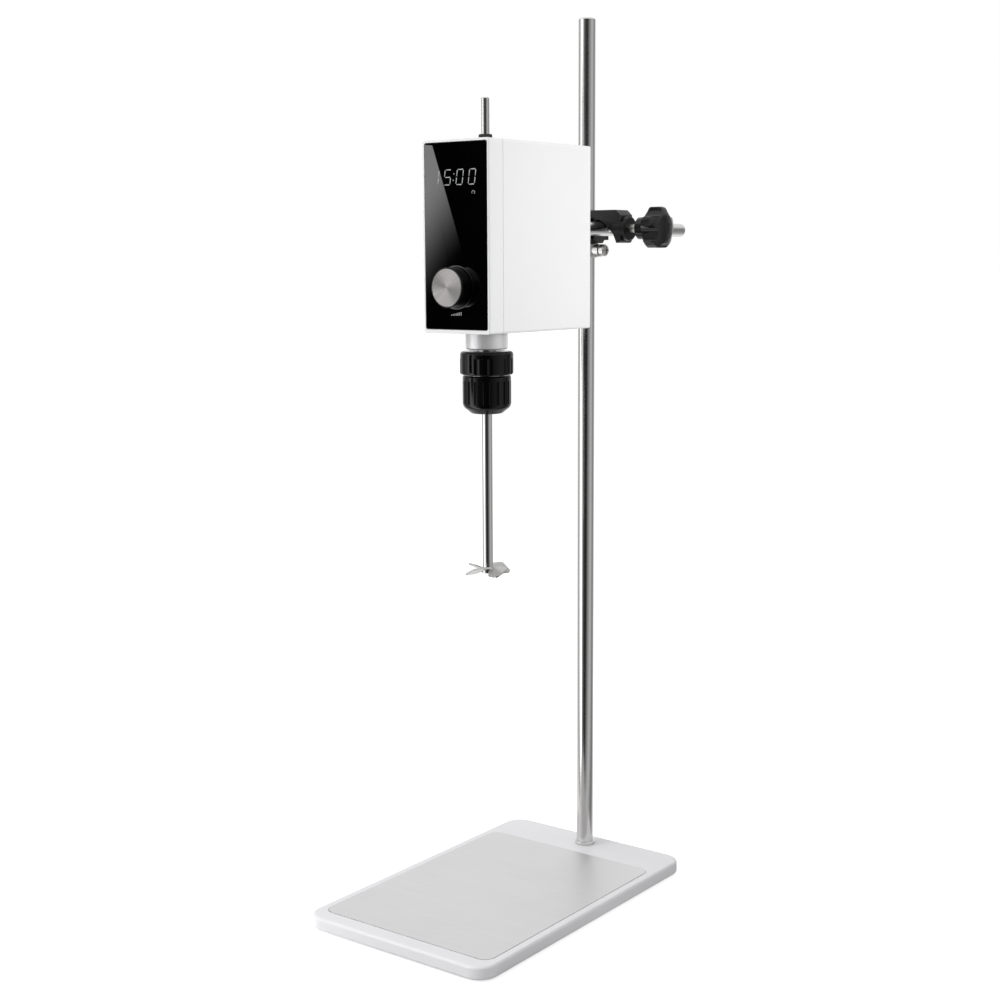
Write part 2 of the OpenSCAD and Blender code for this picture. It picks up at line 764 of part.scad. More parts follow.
module rear_cover() color("whitesmoke")
    difference() {
        translate([head_x, head_rear - cover_t + fit, head_bottom + head_h / 2]) along_y()
            linear_extrude(cover_t - fit) cover_outline();
        translate([head_x, head_rear - cover_t - eps, arm_z]) along_y()
            cylinder(d = socket_d + 1, h = cover_t + 2 * eps);
        translate([head_x, head_rear - cover_t - eps, inlet_z]) along_y()
            linear_extrude(cover_t + 2 * eps) rounded_rect(inlet_w - 3, inlet_h - 3, 2);
        translate([head_x, head_rear - cover_t - eps, switch_z]) along_y()
            linear_extrude(cover_t + 2 * eps) square([switch_w - 3, switch_h - 3], center = true);
        for (i = [0:vent_n - 1])
            translate([head_x, head_rear - cover_t - eps, head_top - 14 - i * vent_pitch]) along_y()
                linear_extrude(cover_t + 2 * eps) rounded_rect(vent_w, vent_h, vent_h / 2 - 0.01);
        at_cover_screws() translate([0, head_rear - cover_t - eps, 0]) along_y()
            cylinder(d = 3 + 2 * fit, h = 6);
    }

module cover_screws() color("silver")
    at_cover_screws() translate([0, head_rear + 2 * fit, 0]) along_y() pan_screw(3, 5);

module top_grommet() color([0.08, 0.08, 0.08])
    at_spindle(head_top) turned([
        [shaft_top_d / 2 + 0.3, -wall - 0.8], [grommet_hole_d / 2 - fit, -wall - 0.8],
        [grommet_hole_d / 2 - fit, fit], [grommet_d / 2 + 0.8, fit], [grommet_d / 2 + 0.8, 1.6],
        [grommet_d / 2, 2.4], [grommet_d / 2, grommet_h - 0.6], [grommet_d / 2 - 0.6, grommet_h],
        [shaft_top_d / 2 + 0.3, grommet_h]]);

// ---------------------------------------------------------------- chassis and drive

deck_w = head_w - 2 * wall - 1;
deck_front = spindle_y - 17;
deck_back = chassis_wall_y + chassis_wall_t;
post_d = 9;
power_gap = 9;
power_board_z = (deck_top + head_top - 17) / 2;
power_board_w = deck_w - 7;
power_board_h = 62;
gusset_d = 20;

module at_posts() {
    for (sx = [-1, 1], y = [spindle_y + gear_r + 1.5, chassis_wall_y - 7])
        translate([head_x + sx * (deck_w / 2 - 5), y, 0]) children();
}

module at_motor_screws() { for (a = [45:90:315]) at_motor() rotate(a) translate([18, 0, 0]) children(); }

module chassis() color("silver")
    difference() {
        union() {
            // deck over the gears
            translate([head_x - deck_w / 2, deck_front, deck_z])
                cube([deck_w, deck_back - deck_front, deck_t]);
            // upright wall that takes the support arm's socket
            translate([head_x - deck_w / 2, chassis_wall_y, head_bottom + wall + fit])
                cube([deck_w, chassis_wall_t, arm_z + 32 - head_bottom - wall]);
            // gussets between the deck and the wall
            for (sx = [-1, 1]) translate([head_x + sx * (deck_w / 2 - 1.5), chassis_wall_y + 1, deck_top - 1])
                rotate([90, 0, -90]) linear_extrude(3, center = true)
                    polygon([[0, 0], [gusset_d, 0], [gusset_d, 1], [0, 2.3 * gusset_d]]);
            at_posts() translate([0, 0, head_bottom + wall + fit])
                cylinder(d = post_d, h = deck_z - head_bottom - wall);
            // standoffs for the power board
            for (sx = [-1, 1], sz = [-1, 1])
                translate([head_x + sx * 22, chassis_wall_y - power_gap + fit, power_board_z + sz * 25.5])
                    along_y() cylinder(d = 6, h = power_gap + 0.5);
        }
        at_spindle(upper_bearing_z) cylinder(d = bearing_d + 2 * fit, h = bearing_h + eps);
        at_spindle(deck_z - eps) cylinder(d = spindle_d + 4, h = 20);
        at_motor(deck_z - eps) cylinder(d = 16, h = deck_t + 2 * eps);
        at_motor_screws() translate([0, 0, deck_z - eps]) cylinder(d = 3 + 2 * fit, h = deck_t + 2 * eps);
        at_posts() cylinder(d = 4 + 2 * fit, h = head_bottom + foot_screw_l + 1);
        translate([head_x, chassis_wall_y - eps, arm_z]) along_y()
            cylinder(d = arm_thread_d + 1, h = chassis_wall_t + 2 * eps);
        at_socket_screws() translate([0, chassis_wall_y - eps, 0]) along_y()
            cylinder(d = 4 + 2 * fit, h = chassis_wall_t + 2 * eps);
        // room for the mains inlet and the switch
        translate([head_x, chassis_wall_y - eps, (inlet_z + switch_z) / 2]) along_y()
            linear_extrude(chassis_wall_t + 2 * eps)
                rounded_rect(36, switch_z - inlet_z + inlet_h + 3, 3);
    }

// Countersunk screws up through the casing's floor into the posts
foot_screw_l = 12;

module chassis_screws() color("silver")
    at_posts() translate([0, 0, head_bottom + fit]) difference() {
        turned([[0, 0], [3.6, 0], [3.6, 0.3], [2, 1.9], [2, foot_screw_l], [0, foot_screw_l]]);
        translate([0, 0, -eps]) cylinder(d = 2.9, h = 1.6 + eps, $fn = 6);
    }

module spindle_housing() color("white")
    at_spindle() difference() {
        turned([[0, housing_bottom], [collar_out_d / 2 - 1, housing_bottom],
                [collar_out_d / 2, housing_bottom + 1], [collar_out_d / 2, head_bottom + wall],
                [collar_out_d / 2 + 1.2, head_bottom + wall + fit],
                [collar_out_d / 2 + 1.2, head_bottom + wall + 3], [0, head_bottom + wall + 3]]);
        translate([0, 0, housing_bottom - eps]) cylinder(d = spindle_d + 3, h = 40);
        translate([0, 0, lower_bearing_z]) cylinder(d = bearing_d + 2 * fit, h = 40);
    }

// Half sections of a ball bearing's rings and its balls
ball_d = 3.2;
ball_ring_r = (bearing_d + spindle_d) / 4;
groove_r = ball_d / 2 + 0.05;

module bearing_ring(outer, inner) {
    rotate_extrude() difference() {
        translate([inner, 0]) square([outer - inner, bearing_h]);
        translate([ball_ring_r, bearing_h / 2]) circle(groove_r);
    }
}

module at_bearings() { for (z = [lower_bearing_z, upper_bearing_z]) at_spindle(z) children(); }

module bearing_outer_rings() color("lightgray")
    at_bearings() bearing_ring(bearing_d / 2, ball_ring_r + 0.7);

module bearing_inner_rings() color("lightgray")
    at_bearings() bearing_ring(ball_ring_r - 0.7, spindle_d / 2 + fit);

module bearing_balls() color("gainsboro")
    at_bearings() for (i = [0:9]) rotate(i * 36)
        translate([ball_ring_r, 0, bearing_h / 2]) sphere(d = ball_d);

// Involute of a base circle of radius r, unwound through angle t in degrees
function involute(r, t) = r * [cos(t) + t * PI / 180 * sin(t), sin(t) - t * PI / 180 * cos(t)];
function polar(r, a) = [r * cos(a), r * sin(a)];
function turn(p, a) = [p[0] * cos(a) - p[1] * sin(a), p[0] * sin(a) + p[1] * cos(a)];

// Outline of a spur gear with a tooth along +X
module gear_outline(m, teeth, backlash = 0.12) {
    pitch_r = m * teeth / 2;
    base_r = pitch_r * cos(20);
    root_r = pitch_r - 1.25 * m;
    tip_r = pitch_r + 0.95 * m;
    pitch_t = sqrt(pow(pitch_r / base_r, 2) - 1) * 180 / PI;
    tip_t = sqrt(pow(tip_r / base_r, 2) - 1) * 180 / PI;
    start_t = root_r > base_r ? sqrt(pow(root_r / base_r, 2) - 1) * 180 / PI : 0;
    pitch_a = pitch_t - atan2(pitch_t * PI / 180, 1);
    half = 90 / teeth - backlash / pitch_r / 2 * 180 / PI;
    flank = [for (i = [0:4]) turn(involute(base_r, start_t + (tip_t - start_t) * i / 4), -pitch_a - half)];
    root_a = atan2(flank[0][1], flank[0][0]);
    tooth = concat(root_r > base_r ? [] : [polar(root_r, root_a)], flank,
        [for (i = [4:-1:0]) [flank[i][0], -flank[i][1]]],
        root_r > base_r ? [] : [polar(root_r, -root_a)]);
    polygon([for (k = [0:teeth - 1], p = tooth) turn(p, k * 360 / teeth)]);
}

module spindle_gear() color("goldenrod")
    at_spindle(gear_z) difference() {
        union() {
            rotate(90) linear_extrude(gear_w) gear_outline(gear_module, gear_teeth);
            cylinder(r = spindle_d / 2 + 4, h = gear_w + 2.5);
        }
        translate([0, 0, -eps]) cylinder(d = spindle_d + 2 * fit, h = gear_w + 5);
        // lightening holes in the web
        for (i = [0:5]) rotate(i * 60 + 30) translate([gear_r * 0.66, 0, -eps])
            cylinder(r = 4, h = gear_w + 2 * eps);
    }

module pinion() color("silver")
    at_motor(gear_z - 0.5) difference() {
        rotate(270 + 180 / pinion_teeth) linear_extrude(gear_w + 1)
            gear_outline(gear_module, pinion_teeth);
        translate([0, 0, -eps]) cylinder(d = motor_shaft_d + 2 * fit, h = gear_w + 3);
    }

module motor_can() color([0.25, 0.25, 0.27])
    at_motor(motor_z) difference() {
        turned([[0, 0], [motor_d / 2 - 1, 0], [motor_d / 2, 1], [motor_d / 2, motor_l - 3],
                [motor_d / 2 - 3, motor_l], [0, motor_l]]);
        translate([0, 0, 6]) cylinder(d = 33, h = motor_l - 12);
        translate([0, 0, -eps]) cylinder(d = motor_shaft_d + 2 * run, h = motor_l - 3 + eps);
        for (a = [45:90:315]) rotate(a) translate([18, 0, -eps]) cylinder(d = 3 + 2 * fit, h = 5 + eps);
    }

module motor_rotor() color("silver")
    at_motor() union() {
        translate([0, 0, gear_z - 1]) cylinder(d = motor_shaft_d, h = motor_z + motor_l - 4 - gear_z + 1);
        translate([0, 0, motor_z + 9]) cylinder(d = 32, h = motor_l - 18);
    }

module motor_screws() color("silver")
    at_motor_screws() translate([0, 0, deck_z - fit]) mirror([0, 0, 1]) pan_screw(3, deck_t + 4);

module spindle() color("silver")
    at_spindle() difference() {
        turned([[spindle_bore / 2, spindle_nose], [spindle_d / 2 - 1, spindle_nose],
                [spindle_d / 2, spindle_nose + 1], [spindle_d / 2, grip_top - 6],
                [spindle_d / 2 + 1.1, grip_top - 6 + fit], [spindle_d / 2 + 1.1, lower_bearing_z - fit],
                [spindle_d / 2, lower_bearing_z - fit], [spindle_d / 2, spindle_top - 1],
                [spindle_d / 2 - 1, spindle_top], [spindle_bore / 2, spindle_top]]);
    }

// ---------------------------------------------------------------- chuck

module chuck_body() color("gray")
    at_spindle() difference() {
        turned([[0, jaw_bottom], [body_nose_r, jaw_bottom], [chuck_body_d / 2, jaw_bottom + 6],
                [chuck_body_d / 2, nut_low - 0.2], [nut_bore_r - slip, nut_low - 0.2],
                [nut_bore_r - slip, nut_low + nut_h + 0.2], [chuck_body_d / 2, nut_low + nut_h + 0.2],
                [chuck_body_d / 2, grip_top - 1], [chuck_body_d / 2 - 1, grip_top], [0, grip_top]]);
        translate([0, 0, spindle_nose - fit]) cylinder(d = spindle_d + 2 * fit, h = 30);
        translate([0, 0, grip_top - 6]) cylinder(r = spindle_d / 2 + 1.1 + fit, h = 8);
        translate([0, 0, jaw_bottom - eps]) cylinder(d = spindle_bore, h = 60);
        for (i = [0:2]) to_jaw(i) translate([0, 0, -8])
            cylinder(d = jaw_d + 2 * run, h = jaw_l + 8 + jaw_travel + 1);
    }

// Carries a jaw, drawn upright from its nose, to its leaning hole in the chuck
module to_jaw(i) {
    at_spindle_dir(i) translate([jaw_r, 0, jaw_bottom]) rotate([0, jaw_lean, 0]) children();
}
module at_spindle_dir(i) { rotate(i * 120 + 90) children(); }

module chuck_jaw(i) {
    at_spindle() difference() {
        to_jaw(i) translate([0, 0, 0.8]) ring(jaw_d / 2, 0, jaw_l, 0.5);
        // flat that grips the shaft
        at_spindle_dir(i) translate([shaft_d / 2 + slip - 20, -10, jaw_bottom - 5]) cube([20, 20, 60]);
    }
}

module chuck_jaw_1() color("silver") chuck_jaw(0);
module chuck_jaw_2() color("silver") chuck_jaw(1);
module chuck_jaw_3() color("silver") chuck_jaw(2);

grip_flutes = 12;

module chuck_grip_ring() color([0.06, 0.06, 0.07])
    at_spindle(grip_bottom) difference() {
        rotate_extrude() difference() {
            union() {
                square([grip_d / 2 - 3, grip_h]);
                translate([0, 2]) square([grip_d / 2, grip_h - 5]);
                translate([grip_d / 2 - 3, grip_h - 3]) circle(3);
                translate([grip_d / 2 - 2, 2]) circle(2);
                translate([grip_d / 2 - 3.5, 0]) square([1.5, 3]);
            }
            translate([-1, -eps]) square([1 + chuck_body_d / 2 + fit, grip_h + 2 * eps]);
        }
        for (i = [0:grip_flutes - 1]) rotate((i + 0.5) * 360 / grip_flutes)
            translate([grip_d / 2 + 4.2, 0, -eps]) cylinder(r = 5, h = grip_h - 5.5);
    }

sleeve_flutes = 20;
sleeve_band = 4.5;
sleeve_mouth_r = 7.5;

module chuck_sleeve() color([0.06, 0.06, 0.07])
    at_spindle(sleeve_bottom) difference() {
        rotate_extrude() difference() {
            polygon(concat([[0, 0], [sleeve_face_d / 2, 0], [sleeve_face_d / 2 + 1.2, 0.4]],
                arc([sleeve_d / 2 - 6, sleeve_nose - 0.5], 6, -48, 0, 6),
                [[sleeve_d / 2, sleeve_h - 1.2], [sleeve_d / 2 - 0.8, sleeve_h], [0, sleeve_h]]));
            // bore that turns round the chuck's body, with its cone
            polygon([[-1, -eps], [sleeve_mouth_r, -eps], [sleeve_mouth_r, jaw_bottom - sleeve_bottom - slip],
                     [body_nose_r + slip, jaw_bottom - sleeve_bottom - slip],
                     [chuck_body_d / 2 + run, jaw_bottom - sleeve_bottom + 6 - slip],
                     [chuck_body_d / 2 + run, sleeve_h + eps], [-1, sleeve_h + eps]]);
        }
        // seat of the pressed-in nut
        translate([0, 0, nut_low - sleeve_bottom - fit])
            cylinder(r = chuck_body_d / 2 + 1.5, h = nut_h + 2 * fit);
        for (i = [0:sleeve_flutes - 1]) rotate((i + 0.5) * 360 / sleeve_flutes)
            translate([sleeve_d / 2 + 0.2, 0, sleeve_nose - 1]) 
                cylinder(r = 1.3, h = sleeve_h - sleeve_nose + 1 - sleeve_band, $fn = 24);
    }

module chuck_nut() color("gray")
    at_spindle(nut_low) ring(chuck_body_d / 2 + 1.5 - fit, nut_bore_r, nut_h, 0.3);

// ---------------------------------------------------------------- stirring shaft

module stirring_shaft() color("lightsteelblue")
    at_spindle() turned([
        [0, shaft_bottom], [shaft_d / 2 - 0.3, shaft_bottom], [shaft_d / 2, shaft_bottom + 0.3],
        [shaft_d / 2, shaft_step], [shaft_top_d / 2, shaft_step + 1],
        [shaft_top_d / 2, shaft_top - 0.8], [shaft_top_d / 2 - 0.8, shaft_top], [0, shaft_top]]);

prop_floor = 1.6;

// Outline of a blade from the hub along +X
module blade_outline() {
    r = prop_d / 2;
    polygon(concat([[1, -3], [6, -3.6], [9, -blade_w / 2]],
        arc([r - 4, -blade_w / 2 + 4], 4, -90, -30, 5),
        arc([r - 3.2, blade_w / 2 - 3], 3, 20, 90, 5),
        [[9, blade_w / 2], [6, 3.6], [1, 3]]));
}

module propeller() color("silver")
    at_spindle(shaft_bottom - prop_floor) difference() {
        union() {
            turned([[0, 0], [shaft_d / 2 + 0.4, 0], [shaft_d / 2 + 0.9, 0.5], [shaft_d / 2 + 0.9, 3.6],
                    [shaft_d / 2 + 0.2, 5.4], [0, 5.4]]);
            for (i = [0:3]) rotate(i * 90 - 15) translate([0, 0, prop_floor + 1])
                rotate([blade_pitch, 0, 0]) linear_extrude(blade_t, center = true) blade_outline();
        }
        translate([0, 0, prop_floor - fit]) cylinder(d = shaft_d + 2 * fit, h = blade_w);
    }

// ---------------------------------------------------------------- electronics

display_w = 44;
display_h = 19;
display_t = 7;

module control_board() color("darkgreen")
    translate([head_x, board_y, glass_z]) along_y()
        linear_extrude(board_t) rounded_rect(board_w, board_h, 2);

module number_display() color("black")
    translate([head_x, board_y - display_t - fit, display_z]) along_y()
        linear_extrude(display_t) square([display_w, display_h], center = true);

module encoder_body() color("silver")
    at_knob(0) difference() {
        union() {
            translate([0, 0, board_y - 6.5]) linear_extrude(6.5 - fit) square([13, 13], center = true);
            translate([0, 0, glass_y - 0.3]) cylinder(d = encoder_bush_d, h = board_y - 6 - glass_y + 0.3);
        }
        translate([0, 0, glass_y - 2]) cylinder(d = encoder_shaft_d + 2 * run, h = 30);
        translate([0, 0, board_y - 5.5]) cylinder(d = 11, h = 3.6);
    }

module encoder_rotor() color("gray")
    at_knob(0) translate([0, 0, board_y - 5.3]) ring(5.4, encoder_shaft_d / 2 + run, 3.2, 0.2);

module encoder_shaft() color("silver")
    at_knob(0) translate([0, 0, knob_front + 3]) cylinder(d = encoder_shaft_d, h = board_y - 1 - knob_press - knob_front - 3);

module speed_knob() color([0.07, 0.07, 0.08])
    at_knob(0) difference() {
        turned([[0, knob_front + 0.4], [knob_d / 2 - 0.6, knob_front + 0.4], [knob_d / 2, knob_front + 1],
                [knob_d / 2, knob_back - 0.4], [knob_d / 2 - 0.4, knob_back], [0, knob_back]]);
        translate([0, 0, knob_front + 4.5]) difference() {
            cylinder(d = knob_d - 4, h = knob_l);
            translate([0, 0, -1]) cylinder(d = encoder_shaft_d + 6, h = knob_l + 2);
        }
        translate([0, 0, knob_front + 3 - fit]) cylinder(d = encoder_shaft_d + 2 * fit, h = knob_l);
        translate([0, 0, knob_front - eps]) cylinder(d = knob_d - 2, h = 0.4 + eps + 0.6);
    }

module knob_face() color("silver")
    at_knob(0) translate([0, 0, knob_front])
        turned([[0, 0], [knob_d / 2 - 1.4, 0], [knob_d / 2 - 1.1, 0.3], [knob_d / 2 - 1.1, 1 - fit], [0, 1 - fit]]);

module knob_trim_ring() color("silver")
    at_knob(0) translate([0, 0, glass_y - 0.6]) difference() {
        cylinder(d = knob_d + 3, h = 0.6 - fit);
        translate([0, 0, -eps]) cylinder(d = knob_d + 1, h = 2);
    }

module power_board() color("darkgreen")
    translate([head_x, chassis_wall_y - power_gap, power_board_z]) along_minus_y() union() {
        linear_extrude(board_t) square([power_board_w, power_board_h], center = true);
        translate([-14, 14, board_t - 0.01]) linear_extrude(9) square([20, 18], center = true);
        for (x = [8, 20]) translate([x, 18, board_t - 0.01]) cylinder(d = 10, h = 9);
        translate([10, -14, board_t - 0.01]) linear_extrude(7) square([26, 12], center = true);
    }

module power_inlet() color("black")
    translate([head_x, head_rear, inlet_z]) along_y() difference() {
        union() {
            translate([0, 0, fit]) linear_extrude(2.5) rounded_rect(inlet_w, inlet_h, 2.5);
            translate([0, 0, -15]) linear_extrude(16) rounded_rect(inlet_w - 3.1, inlet_h - 3.1, 2);
        }
        translate([0, 0, -13]) linear_extrude(17) rounded_rect(24, 16.5, 3);
        for (x = [-7, 0, 7]) translate([x, x == 0 ? 2 : -2, -20])
            linear_extrude(20) square([2 + 2 * fit, 4 + 2 * fit], center = true);
    }

module inlet_pins() color("silver")
    translate([head_x, head_rear, inlet_z]) along_y()
        for (x = [-7, 0, 7]) translate([x, x == 0 ? 2 : -2, -18])
            linear_extrude(15) square([2, 4], center = true);

module switch_frame() color("black")
    translate([head_x, head_rear, switch_z]) along_y() difference() {
        union() {
            translate([0, 0, fit]) linear_extrude(1.5) rounded_rect(switch_w, switch_h, 1);
            translate([0, 0, -12]) linear_extrude(13) square([switch_w - 3.1, switch_h - 3.1], center = true);
        }
        translate([0, 0, -10]) linear_extrude(14) square([switch_w - 6, switch_h - 5], center = true);
    }

// Rocker drawn in plan about its upright pivot, with a shallow dip between its two ends
rocker_tilt = 8;
rocker_half = 6.6;
rocker_pivot_in = 3.5;

module power_rocker() color([0.1, 0.1, 0.1])
    translate([head_x, head_rear - rocker_pivot_in, switch_z]) rotate(rocker_tilt)
        linear_extrude(switch_h - 5.6, center = true)
            polygon(concat([[-rocker_half, 5.2], [-rocker_half, 0]],
                arc([0, 0], 3.4, 200, 340, 6),
                [[rocker_half, 0], [rocker_half, 5.2], [0, 3.6]]));

// ---------------------------------------------------------------- assembly

base_plate();
work_plate();
rubber_feet();
upright_rod();
rod_foot_ring();
rod_washer();
rod_nut();
stop_collar();
collar_screw();
boss_head();
arm_clamp_pad();
arm_clamp_stud();
arm_star_knob();
rod_clamp_pad();
rod_clamp_stud();
rod_star_knob();
support_arm();
arm_nut();
arm_socket();
socket_screws();
head_casing();
front_frame();
glass_panel();
rear_cover();
cover_screws();
top_grommet();
chassis();
chassis_screws();
spindle_housing();
bearing_outer_rings();
bearing_balls();
motor_can();
motor_screws();
control_board();
number_display();
encoder_body();
power_board();
power_inlet();
inlet_pins();
switch_frame();
power_rocker();
knob_trim_ring();
encoder_rotor();
encoder_shaft();
speed_knob();
knob_face();
motor_rotor();
pinion();
spindle();
bearing_inner_rings();
spindle_gear();
chuck_body();
chuck_grip_ring();
chuck_sleeve();
chuck_nut();
chuck_jaw_1();
chuck_jaw_2();
chuck_jaw_3();
stirring_shaft();
propeller();
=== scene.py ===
"""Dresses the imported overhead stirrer: finishes, softened edges, display, printed signs and studio."""

import json
import math

import bmesh
import bpy
from mathutils import Matrix, Vector


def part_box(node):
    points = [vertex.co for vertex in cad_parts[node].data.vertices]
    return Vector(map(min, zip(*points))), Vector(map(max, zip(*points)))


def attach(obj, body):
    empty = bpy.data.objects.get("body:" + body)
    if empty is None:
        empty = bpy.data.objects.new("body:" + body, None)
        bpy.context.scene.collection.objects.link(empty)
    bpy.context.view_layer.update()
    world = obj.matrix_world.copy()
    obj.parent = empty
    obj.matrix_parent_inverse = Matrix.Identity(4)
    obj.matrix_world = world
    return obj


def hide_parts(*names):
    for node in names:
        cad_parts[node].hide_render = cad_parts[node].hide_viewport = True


bl_info = {
    "name": "Overhead stirrer",
    "version": (1, 0, 0),
    "blender": (4, 5, 0),
    "location": "View3D > Sidebar > Stirrer",
    "description": "Finishes and fine shapes of an overhead stirrer on a plate stand",
    "category": "Object",
}

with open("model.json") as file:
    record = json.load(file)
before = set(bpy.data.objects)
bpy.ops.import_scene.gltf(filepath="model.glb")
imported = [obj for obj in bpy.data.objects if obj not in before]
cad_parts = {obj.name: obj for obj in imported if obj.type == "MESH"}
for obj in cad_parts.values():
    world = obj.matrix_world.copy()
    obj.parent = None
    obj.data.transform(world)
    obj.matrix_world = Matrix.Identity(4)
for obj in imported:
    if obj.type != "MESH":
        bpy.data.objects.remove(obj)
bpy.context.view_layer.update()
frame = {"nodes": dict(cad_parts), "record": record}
NODES = frame["nodes"]
BODY_OF = {node: body for body, members in frame["record"]["behaviour"]["bodies"].items() for node in members}
MM = 0.001
QUARTER_TURN = math.radians(90)


def middle(node):
    low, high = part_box(node)
    return (low + high) / 2


GLASS_LOW, GLASS_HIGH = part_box("glass_panel")
KNOB_AT = Vector((middle("knob_face").x, 0, middle("knob_face").z))
CHUCK_AT = Vector((middle("chuck_sleeve").x, middle("chuck_sleeve").y, 0))
FACING_FRONT = Matrix.Rotation(QUARTER_TURN, 4, "X")  # stands a shape drawn in XY up, facing -Y
PLAIN_EDGE = 0.3 * MM  # the edge rounding at which the widths in EDGE_WIDTHS hold
MATERIALS = {}


# ------------------------------------------------------------------ settings


class StirrerColours(bpy.types.PropertyGroup):
    casing: bpy.props.FloatVectorProperty(
        name="Casing", description="Colour of the head's casing", subtype="COLOR", size=3,
        default=(0.825, 0.825, 0.83), min=0, max=1)
    base: bpy.props.FloatVectorProperty(
        name="Base plate", description="Colour of the base plate's coating", subtype="COLOR", size=3,
        default=(0.83, 0.825, 0.845), min=0, max=1)
    knobs: bpy.props.FloatVectorProperty(
        name="Clamp knobs", description="Colour of the two star knobs", subtype="COLOR", size=3,
        default=(0.003, 0.003, 0.0034), min=0, max=1)
    chuck: bpy.props.FloatVectorProperty(
        name="Chuck and speed knob", description="Colour of the chuck and the speed knob's skirt",
        subtype="COLOR", size=3, default=(0.0012, 0.0012, 0.0014), min=0, max=1)
    casting: bpy.props.FloatVectorProperty(
        name="Boss head", description="Colour of the boss head's coating", subtype="COLOR", size=3,
        default=(0.006, 0.006, 0.0066), min=0, max=1)
    steel: bpy.props.FloatVectorProperty(
        name="Stainless steel", description="Colour of the rods and the shaft", subtype="COLOR", size=3,
        default=(0.74, 0.735, 0.73), min=0, max=1)


class StirrerSizes(bpy.types.PropertyGroup):
    edge: bpy.props.FloatProperty(
        name="Edge rounding", description="Rounding of the machined edges", subtype="DISTANCE",
        default=PLAIN_EDGE, min=0.05 * MM, max=1 * MM)
    digit_height: bpy.props.FloatProperty(
        name="Digit height", description="Height of the display's digits", subtype="DISTANCE",
        default=12.1 * MM, min=6 * MM, max=20 * MM)
    digit_slant: bpy.props.FloatProperty(
        name="Digit slant", description="Lean of the display's digits", subtype="ANGLE",
        default=math.radians(8), min=0, max=math.radians(20))


def colours():
    return bpy.context.scene.stirrer_colours


def sizes():
    return bpy.context.scene.stirrer_sizes


# ------------------------------------------------------------------ shader effects


def add_node(tree, kind, **settings):
    node = tree.nodes.new(kind)
    for key, value in settings.items():
        setattr(node, key, value)
    return node


def grey(level):
    return (level, level, level, 1)


def new_group(name, inputs, outputs):
    tree = bpy.data.node_groups.new(name, "ShaderNodeTree")
    for label, kind, default in inputs:
        socket = tree.interface.new_socket(name=label, in_out="INPUT", socket_type=kind)
        if default is not None:
            socket.default_value = default
    for label, kind in outputs:
        tree.interface.new_socket(name=label, in_out="OUTPUT", socket_type=kind)
    return tree, tree.nodes.new("NodeGroupInput"), tree.nodes.new("NodeGroupOutput")


def feed(tree, value, socket):
    """Links an output to a socket, or sets the socket to a number."""
    if hasattr(value, "links"):
        tree.links.new(value, socket)
    else:
        socket.default_value = value


def noise_into(tree, vector, scale, detail, roughness=0.5):
    noise = add_node(tree, "ShaderNodeTexNoise")
    noise.inputs["Detail"].default_value = detail
    noise.inputs["Roughness"].default_value = roughness
    tree.links.new(vector, noise.inputs["Vector"])
    feed(tree, scale, noise.inputs["Scale"])
    return noise.outputs["Fac"]


def maths(tree, operation, *values, clamp=False):
    node = add_node(tree, "ShaderNodeMath", operation=operation, use_clamp=clamp)
    for socket, value in zip(node.inputs, values):
        feed(tree, value, socket)
    return node.outputs[0]


def scaled(tree, value, factor):
    return maths(tree, "MULTIPLY", value, factor)


def blended(tree, first, second, share):
    """Adds two tones, the first with its share and the second with the rest."""
    return maths(tree, "ADD", scaled(tree, first, share), scaled(tree, second, 1 - share))


def spread(tree, value, low, high):
    """Rises smoothly from 0 at low to 1 at high."""
    node = add_node(tree, "ShaderNodeMapRange", interpolation_type="SMOOTHSTEP")
    node.inputs["From Min"].default_value = low
    node.inputs["From Max"].default_value = high
    tree.links.new(value, node.inputs["Value"])
    return node.outputs["Result"]


def split(tree, vector):
    node = add_node(tree, "ShaderNodeSeparateXYZ")
    tree.links.new(vector, node.inputs[0])
    return node.outputs


def paired(tree, x, y):
    """A vector of two values, with nothing along Z."""
    node = add_node(tree, "ShaderNodeCombineXYZ")
    tree.links.new(x, node.inputs[0])
    tree.links.new(y, node.inputs[1])
    return node.outputs[0]


def grain_group():
    """Fine even grain: the orange peel of a coating or the texture of a moulding."""
    patch_scale = 11.0
    fine_share = 0.35
    tree, given, out = new_group(
        "surface_grain", [("Vector", "NodeSocketVector", None), ("Scale", "NodeSocketFloat", 900.0)],
        [("Height", "NodeSocketFloat"), ("Tone", "NodeSocketFloat")])
    fine = noise_into(tree, given.outputs["Vector"], given.outputs["Scale"], detail=3)
    patches = noise_into(tree, given.outputs["Vector"], patch_scale, detail=2)
    tree.links.new(fine, out.inputs["Height"])
    tree.links.new(blended(tree, fine, patches, fine_share), out.inputs["Tone"])
    return tree


def drawn_group():
    """Long fine lines left by drawing, rolling or brushing, stretched along one axis."""
    wide_scale = 0.13
    tree, given, out = new_group(
        "drawn_lines", [("Vector", "NodeSocketVector", None), ("Stretch", "NodeSocketVector", (900, 900, 8))],
        [("Height", "NodeSocketFloat"), ("Tone", "NodeSocketFloat")])
    stretched = add_node(tree, "ShaderNodeVectorMath", operation="MULTIPLY")
    tree.links.new(given.outputs["Vector"], stretched.inputs[0])
    tree.links.new(given.outputs["Stretch"], stretched.inputs[1])
    lines = noise_into(tree, stretched.outputs[0], 1.0, detail=4, roughness=0.6)
    wide = noise_into(tree, stretched.outputs[0], wide_scale, detail=2)
    tree.links.new(lines, out.inputs["Height"])
    tree.links.new(blended(tree, lines, wide, 0.5), out.inputs["Tone"])
    return tree


